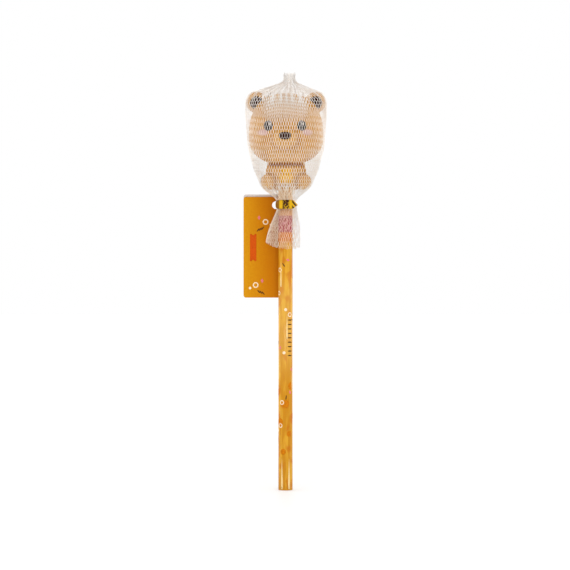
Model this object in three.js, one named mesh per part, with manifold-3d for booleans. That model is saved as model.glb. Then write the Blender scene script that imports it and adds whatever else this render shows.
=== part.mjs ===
// Pencil with a soft bear topper, wrapped in a gathered net with a tie band and a folded hang tag.
// Millimetres. +Z runs up the barrel, -Y faces the front of the bear.
// The origin is the middle of the flat lower end of the pencil.
import * as THREE from 'three';
import { mergeVertices } from 'three/addons/utils/BufferGeometryUtils.js';
import Module from 'manifold-3d';

const wasm = await Module();
wasm.setup();

// Pencil
const BARREL_DIAMETER = 7.2;
const PENCIL_LENGTH = 180;
const LEAD_DIAMETER = 2.2;
const GLUE_LINE = 0.1;

// Foam topper: heights are above its lower end, and the bear stands a little to the right of the barrel.
// The head sinks a little into the torso, the ears rise from the head's outline, the eyes and snout sit
// by the head's widest level, and the nose by the snout's. The face lies a little to the head's left.
const SOCKET_DEPTH = 24;
const SOCKET_CLEARANCE = 0.3;
const SQUEEZE_TRAVEL = 3;
const SQUEEZE_CLEARANCE = 0.5;
const FOAM_GAP = 0.3;
const FOAM_FULLNESS = 2.4;
const BEAR_SIDE_SHIFT = 0.3;
const FACE_SIDE_SHIFT = -0.55;

const HEAD_HALF_WIDTH = 19.5;
const HEAD_HALF_DEPTH = 16.8;
const HEAD_CROWN = 21.6;
const HEAD_CHIN = 14.7;
const HEAD_SINK = 5;

const EAR_RADIUS = 5.5;
const EAR_HALF_DEPTH = 3.6;
const EAR_SIDE_OFFSET = 15.3;
const EAR_RISE = 2.34;
const INNER_EAR_RADIUS = 3.4;
const INNER_EAR_DROP = 0.4;

const SNOUT_HALF_WIDTH = 6.4;
const SNOUT_HALF_HEIGHT = 4.8;
const SNOUT_HALF_DEPTH = 2.8;
const SNOUT_PROUD = 1.4;
const SNOUT_DROP = 2.4;

const NOSE_WIDTH = 6.2;
const NOSE_TALL = 4.3;
const NOSE_RISE = 1.5;
const EYE_WIDTH = 4.7;
const EYE_TALL = 5.4;
const EYE_SPACING = 17.2;
const EYE_RISE = 4.4;
const PAD_GAP = 0.2;
const PAD_THICKNESS = 0.5;

const TORSO_HALF_WIDTH = 10.5;
const TORSO_HALF_DEPTH = 8.6;
const TORSO_MIDDLE_HEIGHT = 6.3;
const TORSO_RISE = 12;
const TORSO_FULLNESS = 4;

const FOOT_HALF_WIDTH = 4.2;
const FOOT_HALF_DEPTH = 4.7;
const FOOT_HALF_HEIGHT = 3.8;
const FOOT_SIDE_OFFSET = 8.9;
const FOOT_FORWARD = 4.6;
const FOOT_LIFT = 0;

const POT_RADIUS = 3.7;
const POT_FOOT_RADIUS = 1.2;
const POT_WAIST_RADIUS = 2.1;
const POT_RIM_RADIUS = 3.1;
const POT_TALL = 8.2;
const POT_WIDEST_HEIGHT = 3.8;
const POT_WAIST_HEIGHT = 5.7;
const POT_RIM_TALL = 1.7;
const POT_HEIGHT = 2;
const POT_PROUD = 2;
const POT_DEPTH_SHARE = 0.7;

// Net bag
const NET_WALL = 0.4;
const NET_SLACK = 0.4;
const NET_BARREL_GAP = 0.45;
const NECK_BUNCH_RIGHT = 1.9;
const NECK_BUNCH_FRONT = 1.6;
const SKIRT_LENGTH = 23;
const SKIRT_FLARE_LEFT = 6.9;
const SKIRT_FLARE_RIGHT = 3.5;
const SKIRT_FLARE_FRONT = 4.4;
const SKIRT_FOLDS = 7;
const SKIRT_FOLD_DEPTH = 0.8;
const TUFT_HALF_WIDTH = 3.6;
const TUFT_WAIST_HALF_WIDTH = 3.1;
const TUFT_HALF_DEPTH = 1.3;
const TUFT_TALL = 4.6;
const TUFT_RISE = 5.4;
const TUFT_SIDE_SHIFT = 2.1;

// Tie band
const BAND_DROP = 7.6;
const BAND_FRONT_WIDTH = 4.6;
const BAND_BACK_WIDTH = 2.7;
const BAND_THICKNESS = 0.4;
const BAND_GAP = 0.3;
const BAND_BACK_BOW = 1.9;
const BAND_NARROWING = 0.7;

// Folded hang tag
const TAG_WIDTH = 24;
const TAG_TALL = 52.7;
const TAG_THICKNESS = 0.35;
const TAG_CORNER_RADIUS = 1.3;
const TAG_HOLE_DIAMETER = 4.1;
const TAG_HOLE_FROM_FOLD = 7;
const TAG_HOLE_FROM_TOP = 4.3;
const TAG_NET_GAP = 0.3;
const TAG_LEAF_GAP = 0.3;
const TAG_BACK_LEAF_RISE = 1.3;
const TAG_SWING_ROOM = 3.4;
const TAG_OPENING_ROOM = 2;

// Fineness of the facets
const ROUND_STEPS = 32;
const LOBE_STEPS = 28;
const LOBE_ROWS_PER_STEP = 0.6;
const SMALL_STEPS = 18;
const POT_CURVE_STEPS = 5;
const NET_STEPS = 40;
const NET_SIDE_CROWDING = 0.5;
const HOOD_STEPS = 23;
const BAND_STEPS = 64;
const LEVEL_STEP = 3;
const LOBE_LEVEL_STEP = 0.5;
const MERGE_DISTANCE = 1e-4;

// Sizes worked out from those above
const barrelRadius = BARREL_DIAMETER / 2;
const topperZ = PENCIL_LENGTH - SOCKET_DEPTH;
const bandZ = topperZ - BAND_DROP;
const bandTopZ = bandZ + BAND_FRONT_WIDTH / 2;
const hemZ = bandZ - SKIRT_LENGTH;
const neckInner = barrelRadius + NET_BARREL_GAP;
const neckThin = neckInner + NET_WALL;
const neck = {
  left: neckThin,
  right: neckInner + NECK_BUNCH_RIGHT - NET_WALL,
  front: neckInner + NECK_BUNCH_FRONT - NET_WALL,
  back: neckThin,
};
const padReach = PAD_GAP + PAD_THICKNESS;
const headMiddleHeight = TORSO_MIDDLE_HEIGHT + TORSO_RISE - HEAD_SINK + HEAD_CHIN;
const earShare = (1 - (EAR_SIDE_OFFSET / HEAD_HALF_WIDTH) ** FOAM_FULLNESS) ** (1 / FOAM_FULLNESS);
const earHeight = headMiddleHeight + HEAD_CROWN * earShare + EAR_RISE;
const eyeHeight = headMiddleHeight + EYE_RISE;
const snoutHeight = headMiddleHeight - SNOUT_DROP;
const noseHeight = snoutHeight + NOSE_RISE;
const bandOffset = BAND_GAP + BAND_THICKNESS / 2;
const tagHoleX = -(neck.left + bandOffset);
const tagFrontY = neckThin + TAG_NET_GAP;
const tagBackY = tagFrontY + TAG_THICKNESS + TAG_LEAF_GAP;
const tagTopZ = bandZ + TAG_HOLE_FROM_TOP;

// Finishes
const lacquer = { color: 0xdfa035, roughness: 0.35 };
const graphite = { color: 0x3a3a3d, roughness: 0.5 };
const foam = { color: 0xd9b791, roughness: 0.8 };
const potFoam = { color: 0xe0b45a, roughness: 0.8 };
const darkPaint = { color: 0x3d2a20, roughness: 0.4 };
const netting = { color: 0xece5de, roughness: 0.8 };
const ribbon = { color: 0xddae1f, roughness: 0.5 };
const card = { color: 0xcf860f, roughness: 0.55 };

const part = new THREE.Group();
part.name = 'pencil_with_topper';

function addMesh(name, geometry, finish) {
  const mesh = new THREE.Mesh(geometry, new THREE.MeshStandardMaterial({ metalness: 0, ...finish }));
  mesh.name = name;
  part.add(mesh);
  return mesh;
}

// Closed meshes to solids and back
function toSolid(geometry) {
  const bare = geometry.clone();
  bare.deleteAttribute('normal');
  bare.deleteAttribute('uv');
  const merged = mergeVertices(bare, MERGE_DISTANCE);
  const index = merged.index.array;
  const kept = [];
  for (let i = 0; i < index.length; i += 3) {
    const [a, b, c] = [index[i], index[i + 1], index[i + 2]];
    if (a !== b && b !== c && c !== a) kept.push(a, b, c);
  }
  const vertProperties = new Float32Array(merged.attributes.position.array);
  const triVerts = new Uint32Array(kept);
  return new wasm.Manifold(new wasm.Mesh({ numProp: 3, vertProperties, triVerts }));
}

function toGeometry(solid) {
  const mesh = solid.getMesh();
  const geometry = new THREE.BufferGeometry();
  geometry.setAttribute('position', new THREE.BufferAttribute(new Float32Array(mesh.vertProperties), 3));
  geometry.setIndex(new THREE.BufferAttribute(new Uint32Array(mesh.triVerts), 1));
  geometry.computeVertexNormals();
  return geometry;
}

function cut(solid, ...tools) {
  return tools.reduce((left, tool) => left.subtract(tool), solid);
}

// A foam lobe is a rounded body of revolution, squeezed to its width and depth.
// up and down are its heights above and below its widest level.
function lobe(x, y, z, width, depth, up, down, steps, power = FOAM_FULLNESS) {
  return { x, y, z, width, depth, up, down, steps, power };
}

function grown(form, by) {
  const { width, depth, up, down } = form;
  return { ...form, width: width + by, depth: depth + by, up: up + by, down: down + by };
}

function padded(form) {
  return { ...form, depth: form.depth + padReach };
}

function shareAt(form, z) {
  const reach = z > form.z ? form.up : form.down;
  const level = Math.min(Math.abs(z - form.z) / reach, 1);
  return (1 - level ** form.power) ** (1 / form.power);
}

function lobeSolid(form) {
  const rows = Math.round(form.steps * LOBE_ROWS_PER_STEP);
  const profile = [];
  for (let i = 0; i <= rows; i += 1) {
    const angle = Math.PI * (i / rows - 0.5);
    const flat = Math.max(Math.cos(angle), 0) ** (2 / form.power);
    const rise = Math.abs(Math.sin(angle)) ** (2 / form.power) * Math.sign(angle);
    const reach = angle > 0 ? form.up : form.down;
    profile.push(new THREE.Vector2(i === 0 || i === rows ? 0 : flat, rise * reach));
  }
  const geometry = new THREE.LatheGeometry(profile, form.steps);
  geometry.rotateX(Math.PI / 2);
  geometry.scale(form.width, form.depth, 1);
  geometry.translate(form.x, form.y, form.z);
  return toSolid(geometry);
}

function uprightCylinder(radius, bottom, top) {
  const geometry = new THREE.CylinderGeometry(radius, radius, top - bottom, ROUND_STEPS);
  geometry.rotateX(Math.PI / 2);
  geometry.translate(0, 0, (bottom + top) / 2);
  return geometry;
}

// A thin pad that follows the front of a lobe, with an oval outline
function frontPad(form, x, z, width, tall) {
  const reach = form.depth + padReach;
  const outline = new THREE.CylinderGeometry(1, 1, reach, SMALL_STEPS);
  outline.scale(width / 2, 1, tall / 2);
  outline.translate(x, form.y - reach / 2, z);
  const skin = lobeSolid(grown(form, padReach)).intersect(toSolid(outline));
  return cut(skin, lobeSolid(grown(form, PAD_GAP)));
}

// Pencil: two grooved wooden slats glued round a lead
function slatGeometry() {
  const half = GLUE_LINE / 2;
  const grooveRadius = LEAD_DIAMETER / 2 + GLUE_LINE;
  const outerStart = Math.asin(half / barrelRadius);
  const grooveStart = Math.asin(half / grooveRadius);
  const shape = new THREE.Shape();
  shape.absarc(0, 0, barrelRadius, outerStart, Math.PI - outerStart, false);
  shape.absarc(0, 0, grooveRadius, Math.PI - grooveStart, grooveStart, true);
  shape.closePath();
  return new THREE.ExtrudeGeometry(shape, {
    depth: PENCIL_LENGTH,
    bevelEnabled: false,
    curveSegments: ROUND_STEPS / 2,
  });
}

addMesh('barrel_back_slat', slatGeometry(), lacquer);
addMesh('barrel_front_slat', slatGeometry().rotateZ(Math.PI), lacquer);
addMesh('graphite_lead', uprightCylinder(LEAD_DIAMETER / 2, 0, PENCIL_LENGTH), graphite);

// Foam bear, whose larger lobes cut the smaller ones
const bearX = BEAR_SIDE_SHIFT;
const faceX = bearX + FACE_SIDE_SHIFT;
const sides = [['left', -1], ['right', 1]];

const headForm = lobe(
  bearX, 0, topperZ + headMiddleHeight, HEAD_HALF_WIDTH, HEAD_HALF_DEPTH,
  HEAD_CROWN, HEAD_CHIN, LOBE_STEPS,
);
const torsoForm = lobe(
  bearX, 0, topperZ + TORSO_MIDDLE_HEIGHT, TORSO_HALF_WIDTH, TORSO_HALF_DEPTH,
  TORSO_RISE, TORSO_MIDDLE_HEIGHT, LOBE_STEPS, TORSO_FULLNESS,
);
const snoutForm = lobe(
  faceX, SNOUT_HALF_DEPTH - HEAD_HALF_DEPTH - SNOUT_PROUD, topperZ + snoutHeight,
  SNOUT_HALF_WIDTH, SNOUT_HALF_DEPTH, SNOUT_HALF_HEIGHT, SNOUT_HALF_HEIGHT, SMALL_STEPS, 2,
);
const earForms = {};
const footForms = {};
for (const [side, sign] of sides) {
  earForms[side] = lobe(
    bearX + sign * EAR_SIDE_OFFSET, 0, topperZ + earHeight, EAR_RADIUS, EAR_HALF_DEPTH,
    EAR_RADIUS, EAR_RADIUS, SMALL_STEPS, 2,
  );
  footForms[side] = lobe(
    bearX + sign * FOOT_SIDE_OFFSET, -FOOT_FORWARD, topperZ + FOOT_HALF_HEIGHT + FOOT_LIFT,
    FOOT_HALF_WIDTH, FOOT_HALF_DEPTH, FOOT_HALF_HEIGHT, FOOT_HALF_HEIGHT, SMALL_STEPS, 2,
  );
}

const socketTop = PENCIL_LENGTH + SQUEEZE_TRAVEL + SQUEEZE_CLEARANCE;
const socket = toSolid(uprightCylinder(barrelRadius + SOCKET_CLEARANCE, hemZ, socketTop));
const headClear = lobeSolid(grown(headForm, FOAM_GAP));
const torsoClear = lobeSolid(grown(torsoForm, FOAM_GAP));

addMesh('head', toGeometry(cut(lobeSolid(headForm), socket)), foam);
addMesh('torso', toGeometry(cut(lobeSolid(torsoForm), headClear, socket)), foam);
addMesh('snout', toGeometry(cut(lobeSolid(snoutForm), headClear)), foam);
const nose = frontPad(snoutForm, faceX, topperZ + noseHeight, NOSE_WIDTH, NOSE_TALL);
addMesh('nose', toGeometry(cut(nose, headClear)), darkPaint);
const snoutClear = lobeSolid(grown(snoutForm, FOAM_GAP));
const footClear = [];
for (const [side, sign] of sides) {
  const eyeX = faceX + sign * EYE_SPACING / 2;
  const eye = frontPad(headForm, eyeX, topperZ + eyeHeight, EYE_WIDTH, EYE_TALL);
  addMesh(`${side}_eye`, toGeometry(cut(eye, snoutClear)), darkPaint);

  const ear = earForms[side];
  addMesh(`${side}_ear`, toGeometry(cut(lobeSolid(ear), headClear)), foam);
  const innerEarZ = ear.z - INNER_EAR_DROP;
  const innerEar = frontPad(ear, ear.x, innerEarZ, INNER_EAR_RADIUS * 2, INNER_EAR_RADIUS * 2);
  addMesh(`${side}_inner_ear`, toGeometry(cut(innerEar, headClear)), darkPaint);

  const foot = footForms[side];
  addMesh(`${side}_foot`, toGeometry(cut(lobeSolid(foot), torsoClear, headClear)), foam);
  footClear.push(lobeSolid(grown(foot, FOAM_GAP)));
}

// Small pot held on the belly: a small foot, a swelling flank, a drawn-in waist and a rim
const potDepth = POT_RADIUS * POT_DEPTH_SHARE;
const potForm = lobe(
  bearX, potDepth - TORSO_HALF_DEPTH - POT_PROUD, topperZ + POT_HEIGHT + POT_TALL / 2,
  POT_RADIUS, potDepth, POT_TALL / 2, POT_TALL / 2, SMALL_STEPS,
);

function potSolid() {
  const bottom = topperZ + POT_HEIGHT;
  const widestZ = bottom + POT_WIDEST_HEIGHT;
  const waistZ = bottom + POT_WAIST_HEIGHT;
  const rimZ = bottom + POT_TALL - POT_RIM_TALL;
  const outline = new THREE.Path();
  outline.moveTo(0, bottom);
  outline.lineTo(POT_FOOT_RADIUS, bottom);
  outline.quadraticCurveTo(POT_RADIUS, bottom, POT_RADIUS, widestZ);
  outline.quadraticCurveTo(POT_RADIUS, waistZ, POT_WAIST_RADIUS, waistZ);
  outline.lineTo(POT_RIM_RADIUS, rimZ);
  outline.lineTo(POT_RIM_RADIUS, bottom + POT_TALL);
  outline.lineTo(0, bottom + POT_TALL);
  const geometry = new THREE.LatheGeometry(outline.getPoints(POT_CURVE_STEPS), SMALL_STEPS);
  geometry.rotateX(Math.PI / 2);
  geometry.scale(1, POT_DEPTH_SHARE, 1);
  geometry.translate(potForm.x, potForm.y, 0);
  return toSolid(geometry);
}

addMesh('belly_pot', toGeometry(cut(potSolid(), torsoClear, headClear, ...footClear)), potFoam);

// Net bag: drawn taut over the lobes, pinched by the band, flared below it and tufted on top.
// A level holds its height and how far the net reaches from the barrel's axis in each direction.
// The directions crowd to the left and right, where the net bends sharply round the ears.
const directions = Array.from({ length: NET_STEPS }, (_, i) => {
  const turn = (2 * Math.PI * i) / NET_STEPS;
  return turn - NET_SIDE_CROWDING * Math.sin(2 * turn) / 2;
});

function ovalOf({ left, right, front, back }) {
  return {
    x: (right - left) / 2,
    y: (back - front) / 2,
    width: (right + left) / 2,
    depth: (back + front) / 2,
  };
}

// The distance from the barrel's axis to an oval that stands round it
function ovalReach(edges, angle) {
  const { x, y, width, depth } = ovalOf(edges);
  const [across, along] = [Math.cos(angle) / width, Math.sin(angle) / depth];
  const [x0, y0] = [x / width, y / depth];
  const a = across ** 2 + along ** 2;
  const b = across * x0 + along * y0;
  const c = x0 ** 2 + y0 ** 2 - 1;
  return (b + Math.sqrt(b ** 2 - a * c)) / a;
}

function ovalLevel(z, edges, fold = 0) {
  const reach = directions.map((angle) => {
    const frontness = (1 - Math.sin(angle)) / 2;
    return ovalReach(edges, angle) + fold * frontness * (1 + Math.cos(SKIRT_FOLDS * angle)) / 2;
  });
  return { z, reach };
}

// The lobes that a level cuts, with room for the net, at rest and with the head pressed down
function lobesAt(z) {
  const roomy = (form) => grown(form, NET_SLACK + NET_WALL);
  const pressed = [headForm, snoutForm, earForms.left, earForms.right].map(padded).map(roomy);
  const still = [torsoForm, footForms.left, footForms.right, potForm].map(roomy);
  const rows = [...pressed, ...still].map((form) => [form, shareAt(form, z)]);
  rows.push(...pressed.map((form) => [form, shareAt(form, z + SQUEEZE_TRAVEL)]));
  return rows.filter(([, share]) => share > 0);
}

// A tight loop of net round every lobe that one level cuts
function loopLevel(z) {
  const rows = lobesAt(z);
  const supports = directions.map((angle) => {
    const [c, s] = [Math.cos(angle), Math.sin(angle)];
    const outermost = ([form, share]) =>
      form.x * c + form.y * s + share * Math.hypot(form.width * c, form.depth * s);
    return Math.max(...rows.map(outermost));
  });
  const reach = directions.map((angle) => {
    const facing = directions.map((side) => Math.cos(side - angle));
    return Math.min(...supports.map((support, i) => (facing[i] > 0 ? support / facing[i] : Infinity)));
  });
  return { z, reach };
}

// A taut net spans the dips between the lobes, so its reach is the upper hull of theirs
function tautLevel(levels, z) {
  const below = levels.filter((level) => level.z <= z);
  const above = levels.filter((level) => level.z > z);
  const reach = directions.map((_, i) => {
    let most = 0;
    for (const low of below) {
      for (const high of above) {
        const share = (z - low.z) / (high.z - low.z);
        most = Math.max(most, low.reach[i] + (high.reach[i] - low.reach[i]) * share);
      }
    }
    return most;
  });
  return { z, reach };
}

// The tag holds the net's back flat up to its own top edge
function flattened(level) {
  const flat = directions.map((angle, i) => {
    const back = Math.sin(angle);
    return back > 0 ? Math.min(level.reach[i], neckThin / back) : level.reach[i];
  });
  return { z: level.z, reach: flat };
}

const foamTopZ = topperZ + Math.max(headMiddleHeight + HEAD_CROWN, earHeight + EAR_RADIUS);
const roofZ = foamTopZ + NET_SLACK;
const tuftWaistZ = foamTopZ + TUFT_RISE;
const tagClearZ = tagTopZ + TAG_SWING_ROOM;

function tuftLevel(z, halfWidth) {
  return ovalLevel(z, {
    left: halfWidth - TUFT_SIDE_SHIFT,
    right: halfWidth + TUFT_SIDE_SHIFT,
    front: TUFT_HALF_DEPTH,
    back: TUFT_HALF_DEPTH,
  });
}

function hoodLevels() {
  const anchors = [ovalLevel(bandTopZ, neck)];
  for (let z = topperZ; z < roofZ; z += LOBE_LEVEL_STEP) anchors.push(loopLevel(z));
  anchors.push(tuftLevel(tuftWaistZ, TUFT_WAIST_HALF_WIDTH));
  const levels = [anchors[0]];
  const flatSteps = Math.ceil((tagClearZ - bandTopZ) / LEVEL_STEP);
  for (let i = 1; i <= flatSteps; i += 1) {
    const z = bandTopZ + (tagClearZ - bandTopZ) * (i / flatSteps);
    levels.push(flattened(tautLevel(anchors, z)));
  }
  for (let i = 1; i < HOOD_STEPS; i += 1) {
    const rise = (1 - Math.cos((Math.PI * i) / HOOD_STEPS)) / 2;
    levels.push(tautLevel(anchors, tagClearZ + (tuftWaistZ - tagClearZ) * rise));
  }
  return levels;
}

function skirtLevels() {
  const flare = {
    left: barrelRadius + SKIRT_FLARE_LEFT,
    right: barrelRadius + SKIRT_FLARE_RIGHT,
    front: barrelRadius + SKIRT_FLARE_FRONT,
    back: neckThin,
  };
  const topZ = bandZ - BAND_FRONT_WIDTH / 2;
  const steps = Math.ceil((topZ - hemZ) / LEVEL_STEP);
  const levels = [];
  for (let i = 0; i <= steps; i += 1) {
    const drop = 1 - i / steps;
    const spread = Math.sin(drop * Math.PI / 2);
    const edges = {};
    for (const side of Object.keys(neck)) {
      edges[side] = THREE.MathUtils.lerp(neck[side], flare[side], spread);
    }
    levels.push(ovalLevel(topZ - (topZ - hemZ) * drop, edges, SKIRT_FOLD_DEPTH * drop));
  }
  return levels;
}

function ringOf({ z, reach }, inset = 0) {
  return directions.map((angle, i) => {
    const radius = reach[i] - inset;
    return new THREE.Vector3(radius * Math.cos(angle), radius * Math.sin(angle), z);
  });
}

// One closed skin from the middle of the first ring, over every ring, to the middle of the last
function skinGeometry(rings) {
  const middle = (ring) => {
    const sum = ring.reduce((total, point) => total.add(point), new THREE.Vector3());
    return sum.divideScalar(ring.length);
  };
  const points = [middle(rings[0]), ...rings.flat(), middle(rings.at(-1))];
  const last = rings.length - 1;
  const at = (row, i) => 1 + row * NET_STEPS + (i % NET_STEPS);
  const index = [];
  for (let i = 0; i < NET_STEPS; i += 1) {
    index.push(0, at(0, i + 1), at(0, i));
    index.push(points.length - 1, at(last, i), at(last, i + 1));
    for (let row = 0; row < last; row += 1) {
      index.push(at(row, i), at(row, i + 1), at(row + 1, i + 1));
      index.push(at(row, i), at(row + 1, i + 1), at(row + 1, i));
    }
  }
  const geometry = new THREE.BufferGeometry().setFromPoints(points);
  geometry.setIndex(index);
  geometry.computeVertexNormals();
  return geometry;
}

function netGeometry() {
  const skirt = skirtLevels();
  const hood = hoodLevels();
  const tuft = [
    tuftLevel(tuftWaistZ, TUFT_WAIST_HALF_WIDTH),
    tuftLevel(tuftWaistZ + TUFT_TALL, TUFT_HALF_WIDTH),
  ];
  const open = skirt.slice(0, -1);
  const pinch = { left: neckInner, right: neckInner, front: neckInner, back: neckInner };
  const pinched = [skirt.at(-1), hood[0]].map(({ z }) => ovalLevel(z, pinch));
  const under = hood.slice(1).filter(({ z }) => z < roofZ);
  const inside = open.map((level) => ringOf(level, NET_WALL));
  inside.push(...pinched.map((level) => ringOf(level)));
  inside.push(...under.map((level) => ringOf(level, NET_WALL)));
  inside.push(ringOf({ ...under.at(-1), z: roofZ }, NET_WALL));
  const outside = [...skirt, ...hood, ...tuft].map((level) => ringOf(level));
  return skinGeometry([...inside.reverse(), ...outside]);
}

addMesh('net_bag', netGeometry(), netting);

// Tie band: a strip round the neck that narrows to pass through the tag's holes
function bandPath(angle) {
  const oval = ovalOf({
    left: neck.left + bandOffset,
    right: neck.right + bandOffset,
    front: neck.front + bandOffset,
    back: neck.back + bandOffset,
  });
  const backStart = tagBackY + TAG_THICKNESS + TAG_OPENING_ROOM - BAND_BACK_BOW;
  const x = oval.x + oval.width * Math.cos(angle);
  const rise = Math.sin(angle);
  const frontDepth = neck.front + bandOffset + oval.y;
  const y = rise < 0 ? oval.y + frontDepth * rise : backStart + BAND_BACK_BOW * rise;
  return new THREE.Vector2(x, y);
}

function bandGeometry() {
  const middle = [];
  for (let i = 0; i < BAND_STEPS; i += 1) middle.push(bandPath((2 * Math.PI * i) / BAND_STEPS));
  const points = [];
  const index = [];
  middle.forEach((point, i) => {
    const before = middle.at(i - 1);
    const after = middle[(i + 1) % BAND_STEPS];
    const out = new THREE.Vector2(after.y - before.y, before.x - after.x).setLength(BAND_THICKNESS / 2);
    const frontness = THREE.MathUtils.smoothstep(-point.y / (neck.front + bandOffset), 0, BAND_NARROWING);
    const half = THREE.MathUtils.lerp(BAND_BACK_WIDTH, BAND_FRONT_WIDTH, frontness) / 2;
    for (const [side, rise] of [[-1, -half], [1, -half], [1, half], [-1, half]]) {
      points.push(new THREE.Vector3(point.x + side * out.x, point.y + side * out.y, bandZ + rise));
    }
    const next = (i + 1) % BAND_STEPS;
    for (let k = 0; k < 4; k += 1) {
      const [a, b] = [i * 4 + k, i * 4 + ((k + 1) % 4)];
      const [c, d] = [next * 4 + ((k + 1) % 4), next * 4 + k];
      index.push(a, c, b, a, d, c);
    }
  });
  const geometry = new THREE.BufferGeometry().setFromPoints(points);
  geometry.setIndex(index);
  geometry.computeVertexNormals();
  return geometry;
}

addMesh('tie_band', bandGeometry(), ribbon);

// Folded hang tag: two leaves of card joined at the fold on the right, each with a hole for the band
function leafGeometry(rise) {
  const left = tagHoleX + TAG_HOLE_FROM_FOLD - TAG_WIDTH;
  const right = tagHoleX + TAG_HOLE_FROM_FOLD;
  const top = tagTopZ + rise;
  const bottom = top - TAG_TALL;
  const r = TAG_CORNER_RADIUS;
  const shape = new THREE.Shape();
  shape.moveTo(right, bottom);
  shape.lineTo(right, top);
  shape.absarc(left + r, top - r, r, Math.PI / 2, Math.PI, false);
  shape.absarc(left + r, bottom + r, r, Math.PI, 1.5 * Math.PI, false);
  shape.closePath();
  const hole = new THREE.Path();
  hole.absarc(tagHoleX, bandZ, TAG_HOLE_DIAMETER / 2, 0, 2 * Math.PI, true);
  shape.holes.push(hole);
  const geometry = new THREE.ExtrudeGeometry(shape, {
    depth: TAG_THICKNESS,
    bevelEnabled: false,
    curveSegments: SMALL_STEPS,
  });
  geometry.rotateX(Math.PI / 2);
  geometry.translate(0, TAG_THICKNESS, 0);
  return geometry;
}

addMesh('tag_front_leaf', leafGeometry(0), card).position.y = tagFrontY;
addMesh('tag_back_leaf', leafGeometry(TAG_BACK_LEAF_RISE), card).position.y = tagBackY;

export default part;
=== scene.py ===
"""Looks of a pencil with a soft bear topper in a net bag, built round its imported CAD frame.

Sizes are millimetres in the CAD's own frame: +Z up the barrel, -Y to the bear's face.
"""

import logging
import math
from dataclasses import dataclass, field, replace
from enum import Enum
from typing import Callable, Sequence

import bpy
import numpy as np
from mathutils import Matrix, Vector
from mathutils.bvhtree import BVHTree

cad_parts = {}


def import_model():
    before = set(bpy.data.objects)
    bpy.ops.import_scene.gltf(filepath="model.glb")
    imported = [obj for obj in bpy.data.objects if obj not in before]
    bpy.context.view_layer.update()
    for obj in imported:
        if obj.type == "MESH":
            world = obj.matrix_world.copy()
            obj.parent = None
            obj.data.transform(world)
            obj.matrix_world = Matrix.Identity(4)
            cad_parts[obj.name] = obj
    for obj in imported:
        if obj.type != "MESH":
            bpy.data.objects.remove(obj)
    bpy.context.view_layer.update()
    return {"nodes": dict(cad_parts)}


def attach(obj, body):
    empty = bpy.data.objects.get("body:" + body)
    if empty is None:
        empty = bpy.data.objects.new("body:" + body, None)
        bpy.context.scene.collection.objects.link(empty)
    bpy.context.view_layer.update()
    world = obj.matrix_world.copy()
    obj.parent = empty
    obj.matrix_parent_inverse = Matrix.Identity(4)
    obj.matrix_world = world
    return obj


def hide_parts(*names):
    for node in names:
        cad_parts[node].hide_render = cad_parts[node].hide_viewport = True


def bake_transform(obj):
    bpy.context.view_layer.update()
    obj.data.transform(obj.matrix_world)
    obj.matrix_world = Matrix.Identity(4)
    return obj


LOG = logging.getLogger("pencil_with_topper")
MM = 0.001
FULL_TURN = 2 * math.pi
# How far one wave of Blender's wave texture runs at a scale of 1.
WAVE_RUN = FULL_TURN / 20
TINY = 1e-9
SIDES = (("left", -1), ("right", 1))

Point = tuple[float, float, float]
Spot = tuple[float, float]
Face = tuple[int, ...]
Colour = tuple[float, float, float, float]
Socket = bpy.types.NodeSocket
Tone = str | Colour | Socket
Values = np.ndarray | float
Placing = Callable[[float, float, float], tuple[Point, Point]]


def linear(colour: str) -> Colour:
    """Turns an sRGB hex colour to linear RGBA.

    Args:
        colour: A colour such as "#DDAE1F".

    Returns:
        The linear red, green, blue and a full alpha.
    """
    shares = [int(colour[i : i + 2], 16) / 255 for i in (1, 3, 5)]
    red, green, blue = (
        share / 12.92 if share <= 0.04045 else ((share + 0.055) / 1.055) ** 2.4 for share in shares
    )
    return red, green, blue, 1.0


def smoothstep(value: Values, low: float, high: float) -> Values:
    """Eases from 0 at low to 1 at high.

    Args:
        value: The number or numbers to ease.
        low: Where the result leaves 0.
        high: Where the result reaches 1.

    Returns:
        The eased share.
    """
    share = np.clip((value - low) / (high - low), 0.0, 1.0)
    return share * share * (3 - 2 * share)


@dataclass(frozen=True)
class Zone:
    """A soft-edged region by height and by distance from the middle.

    An edge is where its share starts to change and where that ends: above and below are heights,
    beyond and within are distances to either side. A bell is its middle and half its width: level
    is one in height, column is one across.
    """

    above: Spot | None = None
    below: Spot | None = None
    beyond: Spot | None = None
    within: Spot | None = None
    level: Spot | None = None
    column: Spot | None = None
    most: float = 1.0

    def share(self, x: Values, z: Values) -> np.ndarray:
        """Returns how far places belong to the region.

        Args:
            x: How far to the right they are, in mm.
            z: Their heights in mm.

        Returns:
            Shares from 0 to most.
        """
        found = np.full(np.broadcast(x, z).shape, self.most)
        for value, edge in ((z, self.above), (abs(x), self.beyond)):
            if edge is not None:
                found = found * smoothstep(value, *edge)
        for value, edge in ((z, self.below), (abs(x), self.within)):
            if edge is not None:
                found = found * (1 - smoothstep(value, *edge))
        for value, bell in ((z, self.level), (x, self.column)):
            if bell is not None:
                found = found * np.exp(-(((value - bell[0]) / bell[1]) ** 2))
        return found


@dataclass(frozen=True)
class Oval:
    """A soft-edged oval region, mirrored to the other side of the middle."""

    middle: Spot
    half: Spot
    edge: Spot = (0.8, 1.2)
    most: float = 1.0

    def away(self, x: Values, z: Values) -> Values:
        """Returns how far out places are, where 1 is the oval's rim."""
        across, along = abs(x) - self.middle[0], z - self.middle[1]
        return np.hypot(across / self.half[0], along / self.half[1])

    def share(self, x: Values, z: Values) -> Values:
        """Returns how far places belong to the region, from 0 to most."""
        return self.most * (1 - smoothstep(self.away(x, z), *self.edge))


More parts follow.
